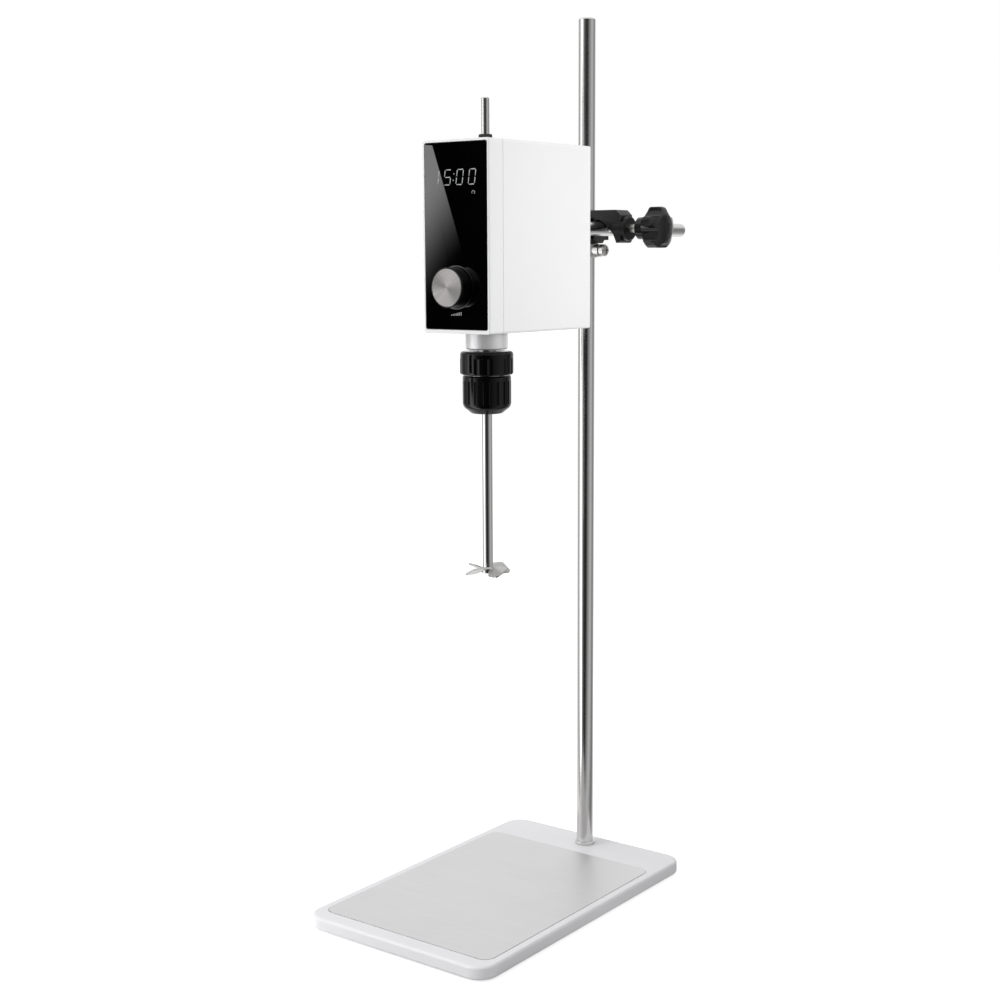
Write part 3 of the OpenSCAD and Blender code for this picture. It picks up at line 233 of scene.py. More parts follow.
def turned_group():
    """Fine rings left by turning, about the Z axis of the vector that it is given."""
    faint, strong = 0.25, 0.75
    tree, given, out = new_group(
        "turned_rings", [("Vector", "NodeSocketVector", None), ("Rings", "NodeSocketFloat", 2500.0)],
        [("Height", "NodeSocketFloat"), ("Tone", "NodeSocketFloat")])
    x, y, z = split(tree, given.outputs["Vector"])
    square = maths(tree, "ADD", maths(tree, "MULTIPLY", x, x), maths(tree, "MULTIPLY", y, y))
    reach = maths(tree, "SQRT", square)
    rings = noise_into(tree, paired(tree, reach, z), given.outputs["Rings"], detail=2, roughness=0.7)
    tree.links.new(rings, out.inputs["Height"])
    tree.links.new(spread(tree, rings, faint, strong), out.inputs["Tone"])
    return tree


def painted_sheen_group():
    """Painted reflection: fans of light and shade painted into the colour round a spun face's centre, about
    the Z axis of its vector.
    """
    fans = 2.0
    fans_turned = math.pi + 0.5
    streak_scale = 9.0
    streak_strength = 3.2
    full = 1.2
    tree, given, out = new_group("spun_painted_sheen", [("Vector", "NodeSocketVector", None)],
                                 [("Tone", "NodeSocketFloat")])
    around = add_node(tree, "ShaderNodeTexGradient", gradient_type="RADIAL")
    tree.links.new(given.outputs["Vector"], around.inputs[0])
    turn = scaled(tree, around.outputs["Fac"], math.tau)
    fan = maths(tree, "COSINE", maths(tree, "ADD", scaled(tree, turn, fans), fans_turned))
    rim = paired(tree, maths(tree, "COSINE", turn), maths(tree, "SINE", turn))
    streaks = maths(tree, "SUBTRACT", noise_into(tree, rim, streak_scale, detail=4, roughness=0.75), 0.5)
    total = maths(tree, "ADD", fan, scaled(tree, streaks, streak_strength))
    tree.links.new(spread(tree, total, -full, full), out.inputs["Tone"])
    return tree


def marks_group():
    """Faint patches where hands and cloths have been, and a little settled dust."""
    clean, marked = 0.42, 0.72
    tree, given, out = new_group(
        "handling_marks", [("Vector", "NodeSocketVector", None), ("Scale", "NodeSocketFloat", 24.0)],
        [("Mask", "NodeSocketFloat")])
    patches = noise_into(tree, given.outputs["Vector"], given.outputs["Scale"], detail=5, roughness=0.62)
    tree.links.new(spread(tree, patches, clean, marked), out.inputs["Mask"])
    return tree


def wear_group():
    """Edges rubbed through, found where the surface bends within a small radius."""
    edge_radius = 0.7 * MM
    flat, sharp = 0.02, 0.2
    rub_scale = 420.0
    kept, rubbed = 0.45, 0.7
    tree, given, out = new_group(
        "edge_wear", [("Vector", "NodeSocketVector", None), ("Strength", "NodeSocketFloat", 1.0)],
        [("Mask", "NodeSocketFloat")])
    bevel = add_node(tree, "ShaderNodeBevel", samples=4)
    bevel.inputs["Radius"].default_value = edge_radius
    surface = add_node(tree, "ShaderNodeNewGeometry")
    dot = add_node(tree, "ShaderNodeVectorMath", operation="DOT_PRODUCT")
    tree.links.new(bevel.outputs[0], dot.inputs[0])
    tree.links.new(surface.outputs["Normal"], dot.inputs[1])
    bend = spread(tree, maths(tree, "SUBTRACT", 1.0, dot.outputs["Value"]), flat, sharp)
    rubs = noise_into(tree, given.outputs["Vector"], rub_scale, detail=4, roughness=0.65)
    worn = maths(tree, "MULTIPLY", bend, spread(tree, rubs, kept, rubbed))
    tree.links.new(maths(tree, "MULTIPLY", worn, given.outputs["Strength"], clamp=True), out.inputs["Mask"])
    return tree


ROOM_TURN = math.radians(53)  # brings the bearing 0 to the wall behind the camera
ROOM_BEYOND = 1.0  # brightness beyond the object, where the bands start and end
ROOM_BRIGHTEST = 4.0  # what the ramp's white stands for
ROOM_BANDS = (  # bearing in degrees and brightness, all round the room
    (-145, 0.95), (-122, 0.4), (-108, 0.5), (-92, 1.1),
    (-83, 2.6), (-68, 2.6), (-58, 1.0),  # the softbox to the left of the camera
    (-40, 0.12), (-12, 0.02), (8, 0.02), (35, 0.3),  # the dim wall behind the camera
    (70, 0.62), (88, 0.45),  # the reflector to its right
    (108, 0.16), (124, 0.4), (145, 0.95),
)
CEILING_LEVEL = 0.9
CEILING_RISE = (0.15, 0.55)  # sines of the heights between which the walls become the ceiling


def room_group():
    """Brightness of the room all round, by the bearing and the height of a vector."""
    if "room_light" in bpy.data.node_groups:
        return bpy.data.node_groups["room_light"]
    tree, given, out = new_group("room_light", [("Vector", "NodeSocketVector", None)],
                                 [("Level", "NodeSocketFloat")])
    turned = add_node(tree, "ShaderNodeMapping")
    turned.inputs["Rotation"].default_value = (0, 0, ROOM_TURN)
    tree.links.new(given.outputs["Vector"], turned.inputs["Vector"])
    around = add_node(tree, "ShaderNodeTexGradient", gradient_type="RADIAL")
    tree.links.new(turned.outputs[0], around.inputs[0])
    ramp = add_node(tree, "ShaderNodeValToRGB")
    tree.links.new(around.outputs["Fac"], ramp.inputs[0])
    stops = ramp.color_ramp.elements
    for end in stops:
        end.color = grey(ROOM_BEYOND / ROOM_BRIGHTEST)
    for bearing, level in ROOM_BANDS:
        stops.new(0.5 + bearing / 360).color = grey(level / ROOM_BRIGHTEST)
    unit = add_node(tree, "ShaderNodeVectorMath", operation="NORMALIZE")
    tree.links.new(given.outputs["Vector"], unit.inputs[0])
    height = split(tree, unit.outputs[0])[2]
    room = add_node(tree, "ShaderNodeMix", data_type="FLOAT")
    tree.links.new(spread(tree, height, *CEILING_RISE), room.inputs["Factor"])
    tree.links.new(scaled(tree, ramp.outputs["Color"], ROOM_BRIGHTEST), room.inputs["A"])
    room.inputs["B"].default_value = CEILING_LEVEL
    tree.links.new(room.outputs["Result"], out.inputs["Level"])
    return tree


GROUP_MAKERS = {"grain": grain_group, "drawn": drawn_group, "turned": turned_group, "painted_sheen": painted_sheen_group,
                "marks": marks_group, "wear": wear_group}
GROUPS = {}


class Finish:
    """One surface finish: a Principled shader with layers of grain, lines, marks and wear."""

    def __init__(self, name, colour, roughness, metallic=0.0, **constants):
        self.material = bpy.data.materials.new(name)
        self.material.use_nodes = True
        self.tree = self.material.node_tree
        self.shader = self.tree.nodes["Principled BSDF"]
        self.coordinates = add_node(self.tree, "ShaderNodeTexCoord").outputs["Object"]
        self.colour = (*colour[:3], 1.0)
        self.tinted = None
        self.shader.inputs["Metallic"].default_value = metallic
        self.shader.inputs["Roughness"].default_value = roughness
        self.shader.inputs["Base Color"].default_value = self.colour
        for key, value in constants.items():
            self.shader.inputs[key.replace("_", " ").title().replace("Ior", "IOR")].default_value = value
        self.material.diffuse_color = self.colour
        MATERIALS[name] = self.material

    def effect(self, kind, vector=None, **values):
        if kind not in GROUPS:
            GROUPS[kind] = GROUP_MAKERS[kind]()
        node = add_node(self.tree, "ShaderNodeGroup", node_tree=GROUPS[kind])
        self.tree.links.new(vector or self.coordinates, node.inputs["Vector"])
        for key, value in values.items():
            node.inputs[key].default_value = value
        return node.outputs

    def shift(self, centre=(0, 0, 0), turn=(0, 0, 0)):
        node = add_node(self.tree, "ShaderNodeMapping", vector_type="TEXTURE")
        node.inputs["Location"].default_value = centre
        node.inputs["Rotation"].default_value = turn
        self.tree.links.new(self.coordinates, node.inputs["Vector"])
        return node.outputs[0]

    def tint(self, mask, towards):
        """Mixes the base colour towards another by a mask."""
        mix = add_node(self.tree, "ShaderNodeMix", data_type="RGBA")
        if self.tinted is None:
            mix.inputs["A"].default_value = self.colour
        else:
            self.tree.links.new(self.tinted, mix.inputs["A"])
        mix.inputs["B"].default_value = (*towards[:3], 1.0)
        self.tree.links.new(mask, mix.inputs["Factor"])
        self.tinted = mix.outputs["Result"]
        self.tree.links.new(self.tinted, self.shader.inputs["Base Color"])
        return self

    def shade(self, tone, amount):
        """Darkens the base colour a little by a tone."""
        return self.tint(maths(self.tree, "MULTIPLY", tone, 1.0, clamp=True),
                         [c * (1 - amount) for c in self.colour[:3]])

    def rough(self, mask, amount):
        """Adds to the roughness by a mask."""
        added = scaled(self.tree, mask, amount)
        total = maths(self.tree, "ADD", added, self.present("Roughness"), clamp=True)
        self.tree.links.new(total, self.shader.inputs["Roughness"])
        return self

    def present(self, socket):
        """What feeds a socket of the shader now: an output or a number."""
        link = self.shader.inputs[socket].links
        return link[0].from_socket if link else self.shader.inputs[socket].default_value

    def bump(self, height, depth):
        """Adds relief of a depth in metres."""
        node = add_node(self.tree, "ShaderNodeBump")
        node.inputs["Distance"].default_value = depth
        node.inputs["Strength"].default_value = 1.0
        self.tree.links.new(height, node.inputs["Height"])
        link = self.shader.inputs["Normal"].links
        if link:
            self.tree.links.new(link[0].from_socket, node.inputs["Normal"])
        self.tree.links.new(node.outputs[0], self.shader.inputs["Normal"])
        return self


def coated(name, colour, roughness, grain=900.0, relief=0.02 * MM, marks=0.05, metallic=0.0, **constants):
    """A coated or moulded surface with grain and faint handling marks."""
    finish = Finish(name, colour, roughness, metallic, **constants)
    peel = finish.effect("grain", Scale=grain)
    finish.shade(peel["Tone"], amount=0.06).bump(peel["Height"], relief)
    return finish.rough(finish.effect("marks")["Mask"], marks)


def machined(name, colour, roughness, stretch=None, centre=None, turn=(0, 0, 0), relief=0.006 * MM):
    """Bare metal with drawn lines along an axis, or turned rings about one."""
    finish = Finish(name, colour, roughness, metallic=1.0)
    if stretch:
        lines = finish.effect("drawn", Stretch=stretch)
    else:
        lines = finish.effect("turned", finish.shift(centre, turn), Rings=2600.0)
    finish.shade(lines["Tone"], amount=0.1).bump(lines["Height"], relief).rough(lines["Tone"], amount=0.06)
    return finish.rough(finish.effect("marks", Scale=30.0)["Mask"], amount=0.05)


# ------------------------------------------------------------------ shapes


MERGE = 0.001 * MM  # corners of a piece that lie closer are one
CAD_MERGE = 0.002 * MM  # the same for a CAD node's loose triangles
MARK_MERGE = 0.0001 * MM  # the same for a printed sign before it is thickened
FLAT_BELOW = math.radians(0.3)  # triangles that meet at less lie in one face
SHARP_ABOVE = math.radians(32)  # faces that meet at more have their edge rounded


def link_piece(name, mesh, node, material, replaces=()):
    """Puts a finished mesh in the scene on the body of a node, with a given material."""
    piece = bpy.data.objects.new(name, mesh)
    bpy.context.scene.collection.objects.link(piece)
    mesh.materials.clear()
    mesh.materials.append(MATERIALS[material])
    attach(piece, BODY_OF[node])
    if replaces:
        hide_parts(*replaces)
    return piece


def close_mesh(bm, name, smooth_below=35.0):
    """Merges, faces outwards and shades a bmesh, and returns its mesh."""
    bmesh.ops.remove_doubles(bm, verts=bm.verts, dist=MERGE)
    bmesh.ops.recalc_face_normals(bm, faces=bm.faces)
    mesh = bpy.data.meshes.new(name)
    bm.to_mesh(mesh)
    bm.free()
    mesh.shade_smooth()
    mesh.set_sharp_from_angle(angle=math.radians(smooth_below))
    return mesh


def softened(node, width):
    """A copy of a node with its sharp edges rounded over."""
    bm = bmesh.new()
    bm.from_mesh(NODES[node].data)
    bmesh.ops.remove_doubles(bm, verts=bm.verts, dist=CAD_MERGE)
    bmesh.ops.dissolve_limit(bm, angle_limit=FLAT_BELOW, verts=bm.verts, edges=bm.edges,
                             use_dissolve_boundaries=False)
    edges = [e for e in bm.edges if e.is_manifold and e.calc_face_angle(0) > SHARP_ABOVE]
    bmesh.ops.bevel(bm, geom=edges, offset=width, offset_type="OFFSET", affect="EDGES", segments=2,
                    profile=0.5, material=-1, clamp_overlap=True, loop_slide=True)
    bmesh.ops.triangulate(bm, faces=[f for f in bm.faces if len(f.verts) > 4])
    return close_mesh(bm, node + "_soft", smooth_below=38.0)


def weigh_normals(piece):
    """Keeps the wide faces flat beside their rounded edges."""
    weighted = piece.modifiers.new("flat_faces", "WEIGHTED_NORMAL")
    weighted.mode = "FACE_AREA"
    weighted.keep_sharp = True


def thicken(bm, depth):
    """Raises flat faces lying in XY by a depth along Z."""
    made = bmesh.ops.extrude_face_region(bm, geom=bm.faces[:])
    raised = [v for v in made["geom"] if isinstance(v, bmesh.types.BMVert)]
    bmesh.ops.translate(bm, verts=raised, vec=(0, 0, depth))


# ------------------------------------------------------------------ operators


FINISH_GROUPS = {
    "base_powder_coat": ["base_plate"],
    "plate_stainless": ["work_plate"],
    "rubber": ["rubber_feet", "top_grommet"],
    "rod_stainless": ["upright_rod", "rod_foot_ring", "stirring_shaft"],
    "blade_stainless": ["propeller"],
    "arm_stainless": ["support_arm"],
    "bright_zinc": ["rod_washer", "rod_nut", "stop_collar", "collar_screw", "arm_clamp_stud",
                    "rod_clamp_stud", "arm_clamp_pad", "rod_clamp_pad", "arm_nut", "socket_screws",
                    "cover_screws", "chassis_screws", "motor_screws", "inlet_pins", "encoder_body",
                    "encoder_shaft"],
    "turned_brass": ["spindle_gear"],
    "boss_coating": ["boss_head"],
    "knob_moulding": ["arm_star_knob", "rod_star_knob"],
    "casing_paint": ["head_casing", "front_frame", "rear_cover"],
    "satin_housing": ["spindle_housing"],
    "panel_glass": ["glass_panel"],
    "cast_aluminium": ["chassis", "arm_socket", "motor_can"],
    "ground_steel": ["bearing_outer_rings", "bearing_inner_rings", "bearing_balls", "motor_rotor", "pinion",
                     "spindle", "chuck_body", "chuck_nut", "chuck_jaw_1", "chuck_jaw_2", "chuck_jaw_3"],
    "circuit_board": ["control_board", "power_board"],
    "dark_moulding": ["number_display", "power_inlet", "switch_frame", "power_rocker", "encoder_rotor"],
    "spun_aluminium": ["knob_face"],
    "dark_trim": ["knob_trim_ring"],
    "chuck_moulding": ["chuck_grip_ring", "chuck_sleeve", "speed_knob"],
}
FINISH_OF = {node: name for name, members in FINISH_GROUPS.items() for node in members}


class STIRRER_OT_finishes(bpy.types.Operator):
    """Makes every finish and puts it on the CAD pieces"""

    bl_idname = "stirrer.finishes"
    bl_label = "Finishes"

    def execute(self, context):
        tone = colours()
        self.coatings(tone)
        self.metals(tone)
        self.mouldings(tone)
        self.boss(tone)
        self.board()
        self.glass()
        self.dial()
        self.digits()
        missing = sorted(set(NODES) - set(FINISH_OF))
        if missing:
            raise RuntimeError(f"no finish for {missing}")
        for node, name in FINISH_OF.items():
            data = NODES[node].data
            data.materials.clear()
            data.materials.append(MATERIALS[name])
        return {"FINISHED"}

    def coatings(self, tone):
        coated("base_powder_coat", tone.base, 0.42, grain=1300.0, relief=0.03 * MM)
        coated("casing_paint", tone.casing, 0.36, grain=1500.0, relief=0.015 * MM,
               coat_weight=0.25, coat_roughness=0.3)
        coated("satin_housing", (0.82, 0.82, 0.83), 0.36, grain=1500.0, relief=0.01 * MM, metallic=0.5)
        coated("cast_aluminium", (0.56, 0.56, 0.57), 0.45, grain=800.0, relief=0.08 * MM, marks=0.1,
               metallic=1.0)
        coated("panel_print", (0.4, 0.4, 0.4), 0.5, grain=1800.0, relief=0.004 * MM)
        coated("rocker_print", (0.75, 0.75, 0.75), 0.5, grain=1800.0, relief=0.004 * MM)

    def metals(self, tone):
        machined("rod_stainless", tone.steel, 0.13, stretch=(1500, 1500, 6))
        machined("arm_stainless", tone.steel, 0.16, stretch=(1500, 6, 1500))
        machined("blade_stainless", (0.6, 0.595, 0.58), 0.2, stretch=(600, 600, 600))
        machined("plate_stainless", (0.8, 0.79, 0.792), 0.4, stretch=(5, 1400, 1400), relief=0.012 * MM)
        machined("bright_zinc", (0.74, 0.73, 0.71), 0.34, stretch=(300, 300, 300), relief=0.02 * MM)
        machined("ground_steel", (0.62, 0.62, 0.63), 0.22, centre=tuple(CHUCK_AT))
        machined("turned_brass", (0.66, 0.48, 0.22), 0.28, stretch=(200, 900, 900))
        machined("dark_trim", (0.1, 0.1, 0.1), 0.3, centre=tuple(KNOB_AT), turn=(QUARTER_TURN, 0, 0))

    def mouldings(self, tone):
        coated("rubber", (0.02, 0.02, 0.021), 0.75, grain=700.0, relief=0.06 * MM)
        coated("knob_moulding", tone.knobs, 0.12, grain=1600.0, relief=0.005 * MM, marks=0.06,
               specular_ior_level=0.5)
        coated("chuck_moulding", tone.chuck, 0.07, grain=2000.0, relief=0.002 * MM, marks=0.04,
               specular_ior_level=0.3)
        coated("dark_moulding", (0.03, 0.03, 0.032), 0.5, grain=1200.0, relief=0.03 * MM)

    def boss(self, tone):
        """The boss head's black coating, rubbed through to grey at its edges"""
        casting = coated("boss_coating", tone.casting, 0.36, grain=1100.0, relief=0.04 * MM, marks=0.12,
                         specular_ior_level=0.33)
        casting.tint(casting.effect("wear", Strength=0.5)["Mask"], (0.25, 0.25, 0.25))

    def board(self):
        """Green lacquer over patches of copper"""
        board = coated("circuit_board", (0.02, 0.14, 0.06), 0.35, grain=500.0, coat_weight=0.4)
        patches = noise_into(board.tree, board.coordinates, 260.0, detail=0)
        copper = spread(board.tree, patches, 0.55, 0.58)
        board.tint(copper, (0.04, 0.22, 0.09))

    def glass(self):
        """Black glass with faint smears"""
        glass = Finish("panel_glass", (0.0006, 0.0006, 0.0007), 0.008, specular_ior_level=0.9)
        smears = glass.effect("marks", Scale=18.0)["Mask"]
        glass.rough(smears, amount=0.006).tint(smears, (0.0012, 0.0012, 0.0014))

    def dial(self):
        """The speed knob's face of spun aluminium, with painted fans of reflected light and shade round its
        centre
        """
        spun = Finish("spun_aluminium", (0.25, 0.243, 0.238), 0.27, metallic=1.0, anisotropic=0.85)
        facing = spun.shift(tuple(KNOB_AT), (QUARTER_TURN, 0, 0))
        # painted highlight: the colour is brightened in fans by the painted reflection tone, not by the
        # metal's own colour
        spun.tint(spun.effect("painted_sheen", facing)["Tone"], (0.46, 0.445, 0.435))
        rings = spun.effect("turned", facing, Rings=5200.0)
        spun.bump(rings["Height"], depth=0.0008 * MM).rough(rings["Tone"], amount=0.03)
        tangent = add_node(spun.tree, "ShaderNodeTangent", direction_type="RADIAL", axis="Y")
        spun.tree.links.new(tangent.outputs[0], spun.shader.inputs["Tangent"])

    def digits(self):
        """The display's segments, which glow dimly"""
        digits = Finish("display_segments", (0.26, 0.265, 0.26), 0.35)
        unevenness = noise_into(digits.tree, digits.coordinates, 900.0, detail=2)
        digits.shade(unevenness, amount=0.2)
        digits.shader.inputs["Emission Color"].default_value = (0.75, 0.78, 0.78, 1)
        digits.shader.inputs["Emission Strength"].default_value = 0.19


EDGE_WIDTHS = {  # rounding of each piece's sharp edges, in millimetres
    "work_plate": 0.25, "rod_foot_ring": 0.25, "stop_collar": 0.3, "boss_head": 0.9, "head_casing": 0.3,
    "front_frame": 0.35, "glass_panel": 0.2, "rear_cover": 0.3, "arm_socket": 0.3, "power_inlet": 0.3,
    "switch_frame": 0.25, "power_rocker": 0.3, "spindle_housing": 0.3, "chuck_grip_ring": 0.35,
    "chuck_sleeve": 0.25, "speed_knob": 0.25, "propeller": 0.2, "top_grommet": 0.3, "arm_star_knob": 0.7,
    "rod_star_knob": 0.7, "collar_screw": 0.2, "support_arm": 0.3, "base_plate": 0.4, "arm_clamp_stud": 0.2,
    "rod_clamp_stud": 0.2,
}


class STIRRER_OT_soft_edges(bpy.types.Operator):
    """Rounds over the sharp edges of the visible machined and moulded pieces"""

    bl_idname = "stirrer.soft_edges"
    bl_label = "Soft edges"

    def execute(self, context):
        share = sizes().edge / PLAIN_EDGE
        for node, width in EDGE_WIDTHS.items():
            mesh = softened(node, width * share * MM)
            weigh_normals(link_piece(node + "_fine", mesh, node, FINISH_OF[node], replaces=[node]))
        return {"FINISHED"}


READING = "15:00"
DIGIT_SEGMENTS = {"0": "abcdef", "1": "bc", "5": "acdfg"}
DIGIT_WIDTH = 0.53  # these four are shares of the digits' height
DIGIT_GAP = 0.52
SEGMENT_LINE = 0.068
COLON_RISE = 0.21
COLON_RADIUS = 0.6  # a share of a segment's line, as is the next
SEGMENT_REACH = 0.577  # from a segment's middle line to its outermost corners
SEGMENT_THICKNESS = 0.12 * MM
READING_END = 0.815  # share of the glass panel's width at which the reading ends
READING_RISE = 0.45 * MM  # how far the reading's middle stands above the display's
READING_SUNK = 0.07 * MM


def display_segment(bm, x, z, length, line, upright):
    """Adds a segment lying in XY: a bar that widens towards one end."""
    reach = line * SEGMENT_REACH
    made = bmesh.ops.create_circle(bm, cap_ends=True, segments=6, radius=1.0)["verts"]
    bmesh.ops.transform(bm, verts=made, matrix=Matrix.Diagonal((length / 2, reach, 1, 1)))
    for v in made:
        is_outermost = abs(v.co.y) > 0.75 * reach
        if is_outermost:
            v.co.x = length / 2 - line / 2
    if upright:
        bmesh.ops.rotate(bm, verts=made, cent=(0, 0, 0), matrix=Matrix.Rotation(QUARTER_TURN, 3, "Z"))
    bmesh.ops.translate(bm, verts=made, vec=(x, z, 0))


def display_digit(bm, digit, at, height, line):
    """Adds a digit's lit segments, from its left edge."""
    width = height * DIGIT_WIDTH
    quarter = height / 4
    spots = {"a": (width / 2, 2 * quarter, False), "g": (width / 2, 0, False),
             "d": (width / 2, -2 * quarter, False),
             "f": (0, quarter, True), "e": (0, -quarter, True),
             "b": (width, quarter, True), "c": (width, -quarter, True)}
    for key in DIGIT_SEGMENTS[digit]:
        x, z, upright = spots[key]
        length = 2 * quarter if upright else width
        display_segment(bm, at + x, z, length - line / 2, line, upright)


def display_colon(bm, at, height, line):
    for z in (-height * COLON_RISE, height * COLON_RISE):
        made = bmesh.ops.create_circle(bm, cap_ends=True, segments=20, radius=line * COLON_RADIUS)["verts"]
        bmesh.ops.translate(bm, verts=made, vec=(at, z, 0))


class STIRRER_OT_display(bpy.types.Operator):
    """Lays the display's lit segments into the glass"""

    bl_idname = "stirrer.display"
    bl_label = "Display"

    def execute(self, context):
        height = sizes().digit_height
        gap = height * DIGIT_GAP
        line = height * SEGMENT_LINE
        bm = bmesh.new()
        at = 0.0
        for sign in READING:
            if sign == ":":
                display_colon(bm, at - gap / 2, height, line)
            else:
                display_digit(bm, sign, at, height, line)
                at += height * DIGIT_WIDTH + gap
        thicken(bm, SEGMENT_THICKNESS)
        shear = Matrix.Identity(4)
        shear[0][1] = math.tan(sizes().digit_slant)
        end = GLASS_LOW.x + (GLASS_HIGH.x - GLASS_LOW.x) * READING_END
        start = Matrix.Translation((end - at + gap, GLASS_LOW.y + READING_SUNK,
                                    middle("number_display").z + READING_RISE))
        bmesh.ops.transform(bm, matrix=start @ FACING_FRONT @ shear, verts=bm.verts)
        link_piece("display_digits", close_mesh(bm, "display_digits"), "number_display", "display_segments")
        return {"FINISHED"}


PRINT_THICKNESS = 0.1 * MM
PRINT_SUNK = 0.05 * MM
SIGNS_BELOW_KNOB = 21.5 * MM  # from the knob's centre down to the point that the panel's signs are drawn from
# the rest is in millimetres, as the signs are drawn
BARS = 7
BAR_PITCH = 1.7
BAR_WIDTH = 0.75
BARS_FROM = (-5.2, -1.6)  # middle of the first bar's foot
FIRST_BAR = 0.8
BAR_GROWTH = 0.4
ARROW_AT = (18.5, 98.2)  # centre of the turning arrow
ARROW_RADIUS = 1.5
ARROW_LINE = 0.4
ARROW_FROM, ARROW_TO = math.radians(-30), math.radians(210)
ARROW_TIP = (19.8, 97.55)
BARB_TURNS = (math.radians(35), math.radians(55))
BARB_OUT = 0.45  # from the tip to the middle of a barb
BARB_LENGTH = 1.2
BARB_LINE = 0.35
SWITCH_RADIUS = 1.5
SWITCH_BAR = 3.4
SWITCH_LINE = 0.5
FACING_BACK = 0.9  # how far along Y the normals of the rocker's two outer faces point, at least


def bar_mark(bm, x, z, width, height, turn=0.0):
    """Adds a flat bar lying in XY, measured in millimetres."""
    made = bmesh.ops.create_grid(bm, x_segments=1, y_segments=1, size=0.5)["verts"]
    bmesh.ops.transform(bm, verts=made, matrix=Matrix.Translation((x * MM, z * MM, 0))
                        @ Matrix.Rotation(turn, 4, "Z") @ Matrix.Diagonal((width * MM, height * MM, 1, 1)))


def arc_mark(bm, x, z, radius, line, start, end, steps=24):
    """Adds a flat arc lying in XY, measured in millimetres and radians."""
    ends = [bm.verts.new(((x + edge * math.cos(start)) * MM, (z + edge * math.sin(start)) * MM, 0))
            for edge in (radius - line / 2, radius + line / 2)]
    bmesh.ops.spin(bm, geom=ends + [bm.edges.new(ends)], cent=(x * MM, z * MM, 0), axis=(0, 0, 1),
                   angle=end - start, steps=steps, use_merge=end - start >= math.tau)


def print_marks(bm, name, matrix):
    """Thickens flat marks and lays them on a face."""
    bmesh.ops.remove_doubles(bm, verts=bm.verts, dist=MARK_MERGE)
    thicken(bm, PRINT_THICKNESS)
    bmesh.ops.transform(bm, matrix=matrix, verts=bm.verts)
    return close_mesh(bm, name)


class STIRRER_OT_marks(bpy.types.Operator):
    """Prints the panel's plain signs and the switch's two signs"""

    bl_idname = "stirrer.marks"
    bl_label = "Marks"

    def execute(self, context):
        self.panel()
        self.rocker()
        return {"FINISHED"}

    def panel(self):
        """A rising row of bars below the knob and a turning arrow below the digits"""
        bm = bmesh.new()
        left, foot = BARS_FROM
        for i in range(BARS):
            tall = FIRST_BAR + BAR_GROWTH * i
            bar_mark(bm, left + i * BAR_PITCH, foot + tall / 2, BAR_WIDTH, tall)
        arc_mark(bm, *ARROW_AT, ARROW_RADIUS, ARROW_LINE, ARROW_FROM, ARROW_TO)
        tip_x, tip_z = ARROW_TIP
        for turn in BARB_TURNS:
            bar_mark(bm, tip_x - BARB_OUT * math.cos(turn), tip_z + BARB_OUT * math.sin(turn),
                     BARB_LENGTH, BARB_LINE, turn)
        origin = Vector((middle("glass_panel").x, GLASS_LOW.y + PRINT_SUNK, KNOB_AT.z - SIGNS_BELOW_KNOB))
        mesh = print_marks(bm, "panel_marks", Matrix.Translation(origin) @ FACING_FRONT)
        link_piece("panel_marks", mesh, "glass_panel", "panel_print")

    def rocker(self):
        """I on one half and O on the other"""
        faces = [f for f in NODES["power_rocker"].data.polygons if f.normal.y > FACING_BACK]
        halves = {}
        for face in sorted(faces, key=lambda f: -f.area):
            halves.setdefault(face.center.x > middle("power_rocker").x, []).append(face)
        if len(halves) != 2:
            raise RuntimeError("the rocker has no two faces")
        for is_off, parts in halves.items():
            area = sum(f.area for f in parts)
            centre = sum((f.center * f.area for f in parts), Vector()) / area
            normal = sum((f.normal * f.area for f in parts), Vector()).normalized()
            bm = bmesh.new()
            if is_off:
                arc_mark(bm, 0, 0, SWITCH_RADIUS, SWITCH_LINE, 0, math.tau, 32)
            else:
                bar_mark(bm, 0, 0, SWITCH_LINE, SWITCH_BAR)
            turned = normal.to_track_quat("Z", "Y").to_matrix().to_4x4()
            name = "rocker_off" if is_off else "rocker_on"
            mesh = print_marks(bm, name, Matrix.Translation(centre - normal * PRINT_SUNK) @ turned)
            link_piece(name, mesh, "power_rocker", "rocker_print")


FLOOR_SIZE = 60
PAPER_GLOW = 0.72  # light that the paper adds where the camera sees it
EVEN_LIGHT = 0.6  # brightness of the white surroundings as matt surfaces see them

LIGHTS = (  # name, place and aim in metres, size in metres, power in watts, spread in degrees
    ("top_softbox", (-0.9, -0.3, 2.4), (0, 0, 0), (1.8, 1.8), 7, 120),
    ("front_softbox", (-1.3, -1.9, 1.0), (0, 0, 0.35), (1.0, 1.6), 12.5, 120),
    ("side_softbox", (1.3, 0.35, 0.72), (0, 0.1, 0.62), (0.5, 0.3), 1.05, 50),
)

# the card is in metres
CARD_AT = (-0.78, -1.087, 0.64)
CARD_SIZE = (0.42, 0.56)
CARD_LEVEL = 2.37
CARD_EDGE_AT = (-0.8243, 0.762)  # a point, along X and Z, of the edge where its light ends
CARD_EDGE_SLOPE = -0.3813  # that edge's shift along X for each metre up
CARD_EDGE_BLUR = 0.0006
CARD_FADE_FROM = 0.8326  # the light fades along the falling diagonal, Z less X, moved by this
CARD_FADE = (0.503, 0.708)
CARD_FADE_POWER = 1.6

CAMERA_AT = Vector((871.417, -1156.370, 586.255)) * MM
CAMERA_TURNS = (math.radians(37.011), math.radians(8.415), math.radians(-0.278))  # yaw, pitch and roll
CAMERA_LENS = 59.144
SENSOR_WIDTH = 36


def chosen_shader(tree, mask, otherwise, chosen):
    """Shows one shader where a mask is full, and another elsewhere."""
    mix = add_node(tree, "ShaderNodeMixShader")
    tree.links.new(mask, mix.inputs[0])
    tree.links.new(otherwise, mix.inputs[1])
    tree.links.new(chosen, mix.inputs[2])
    return mix.outputs[0]


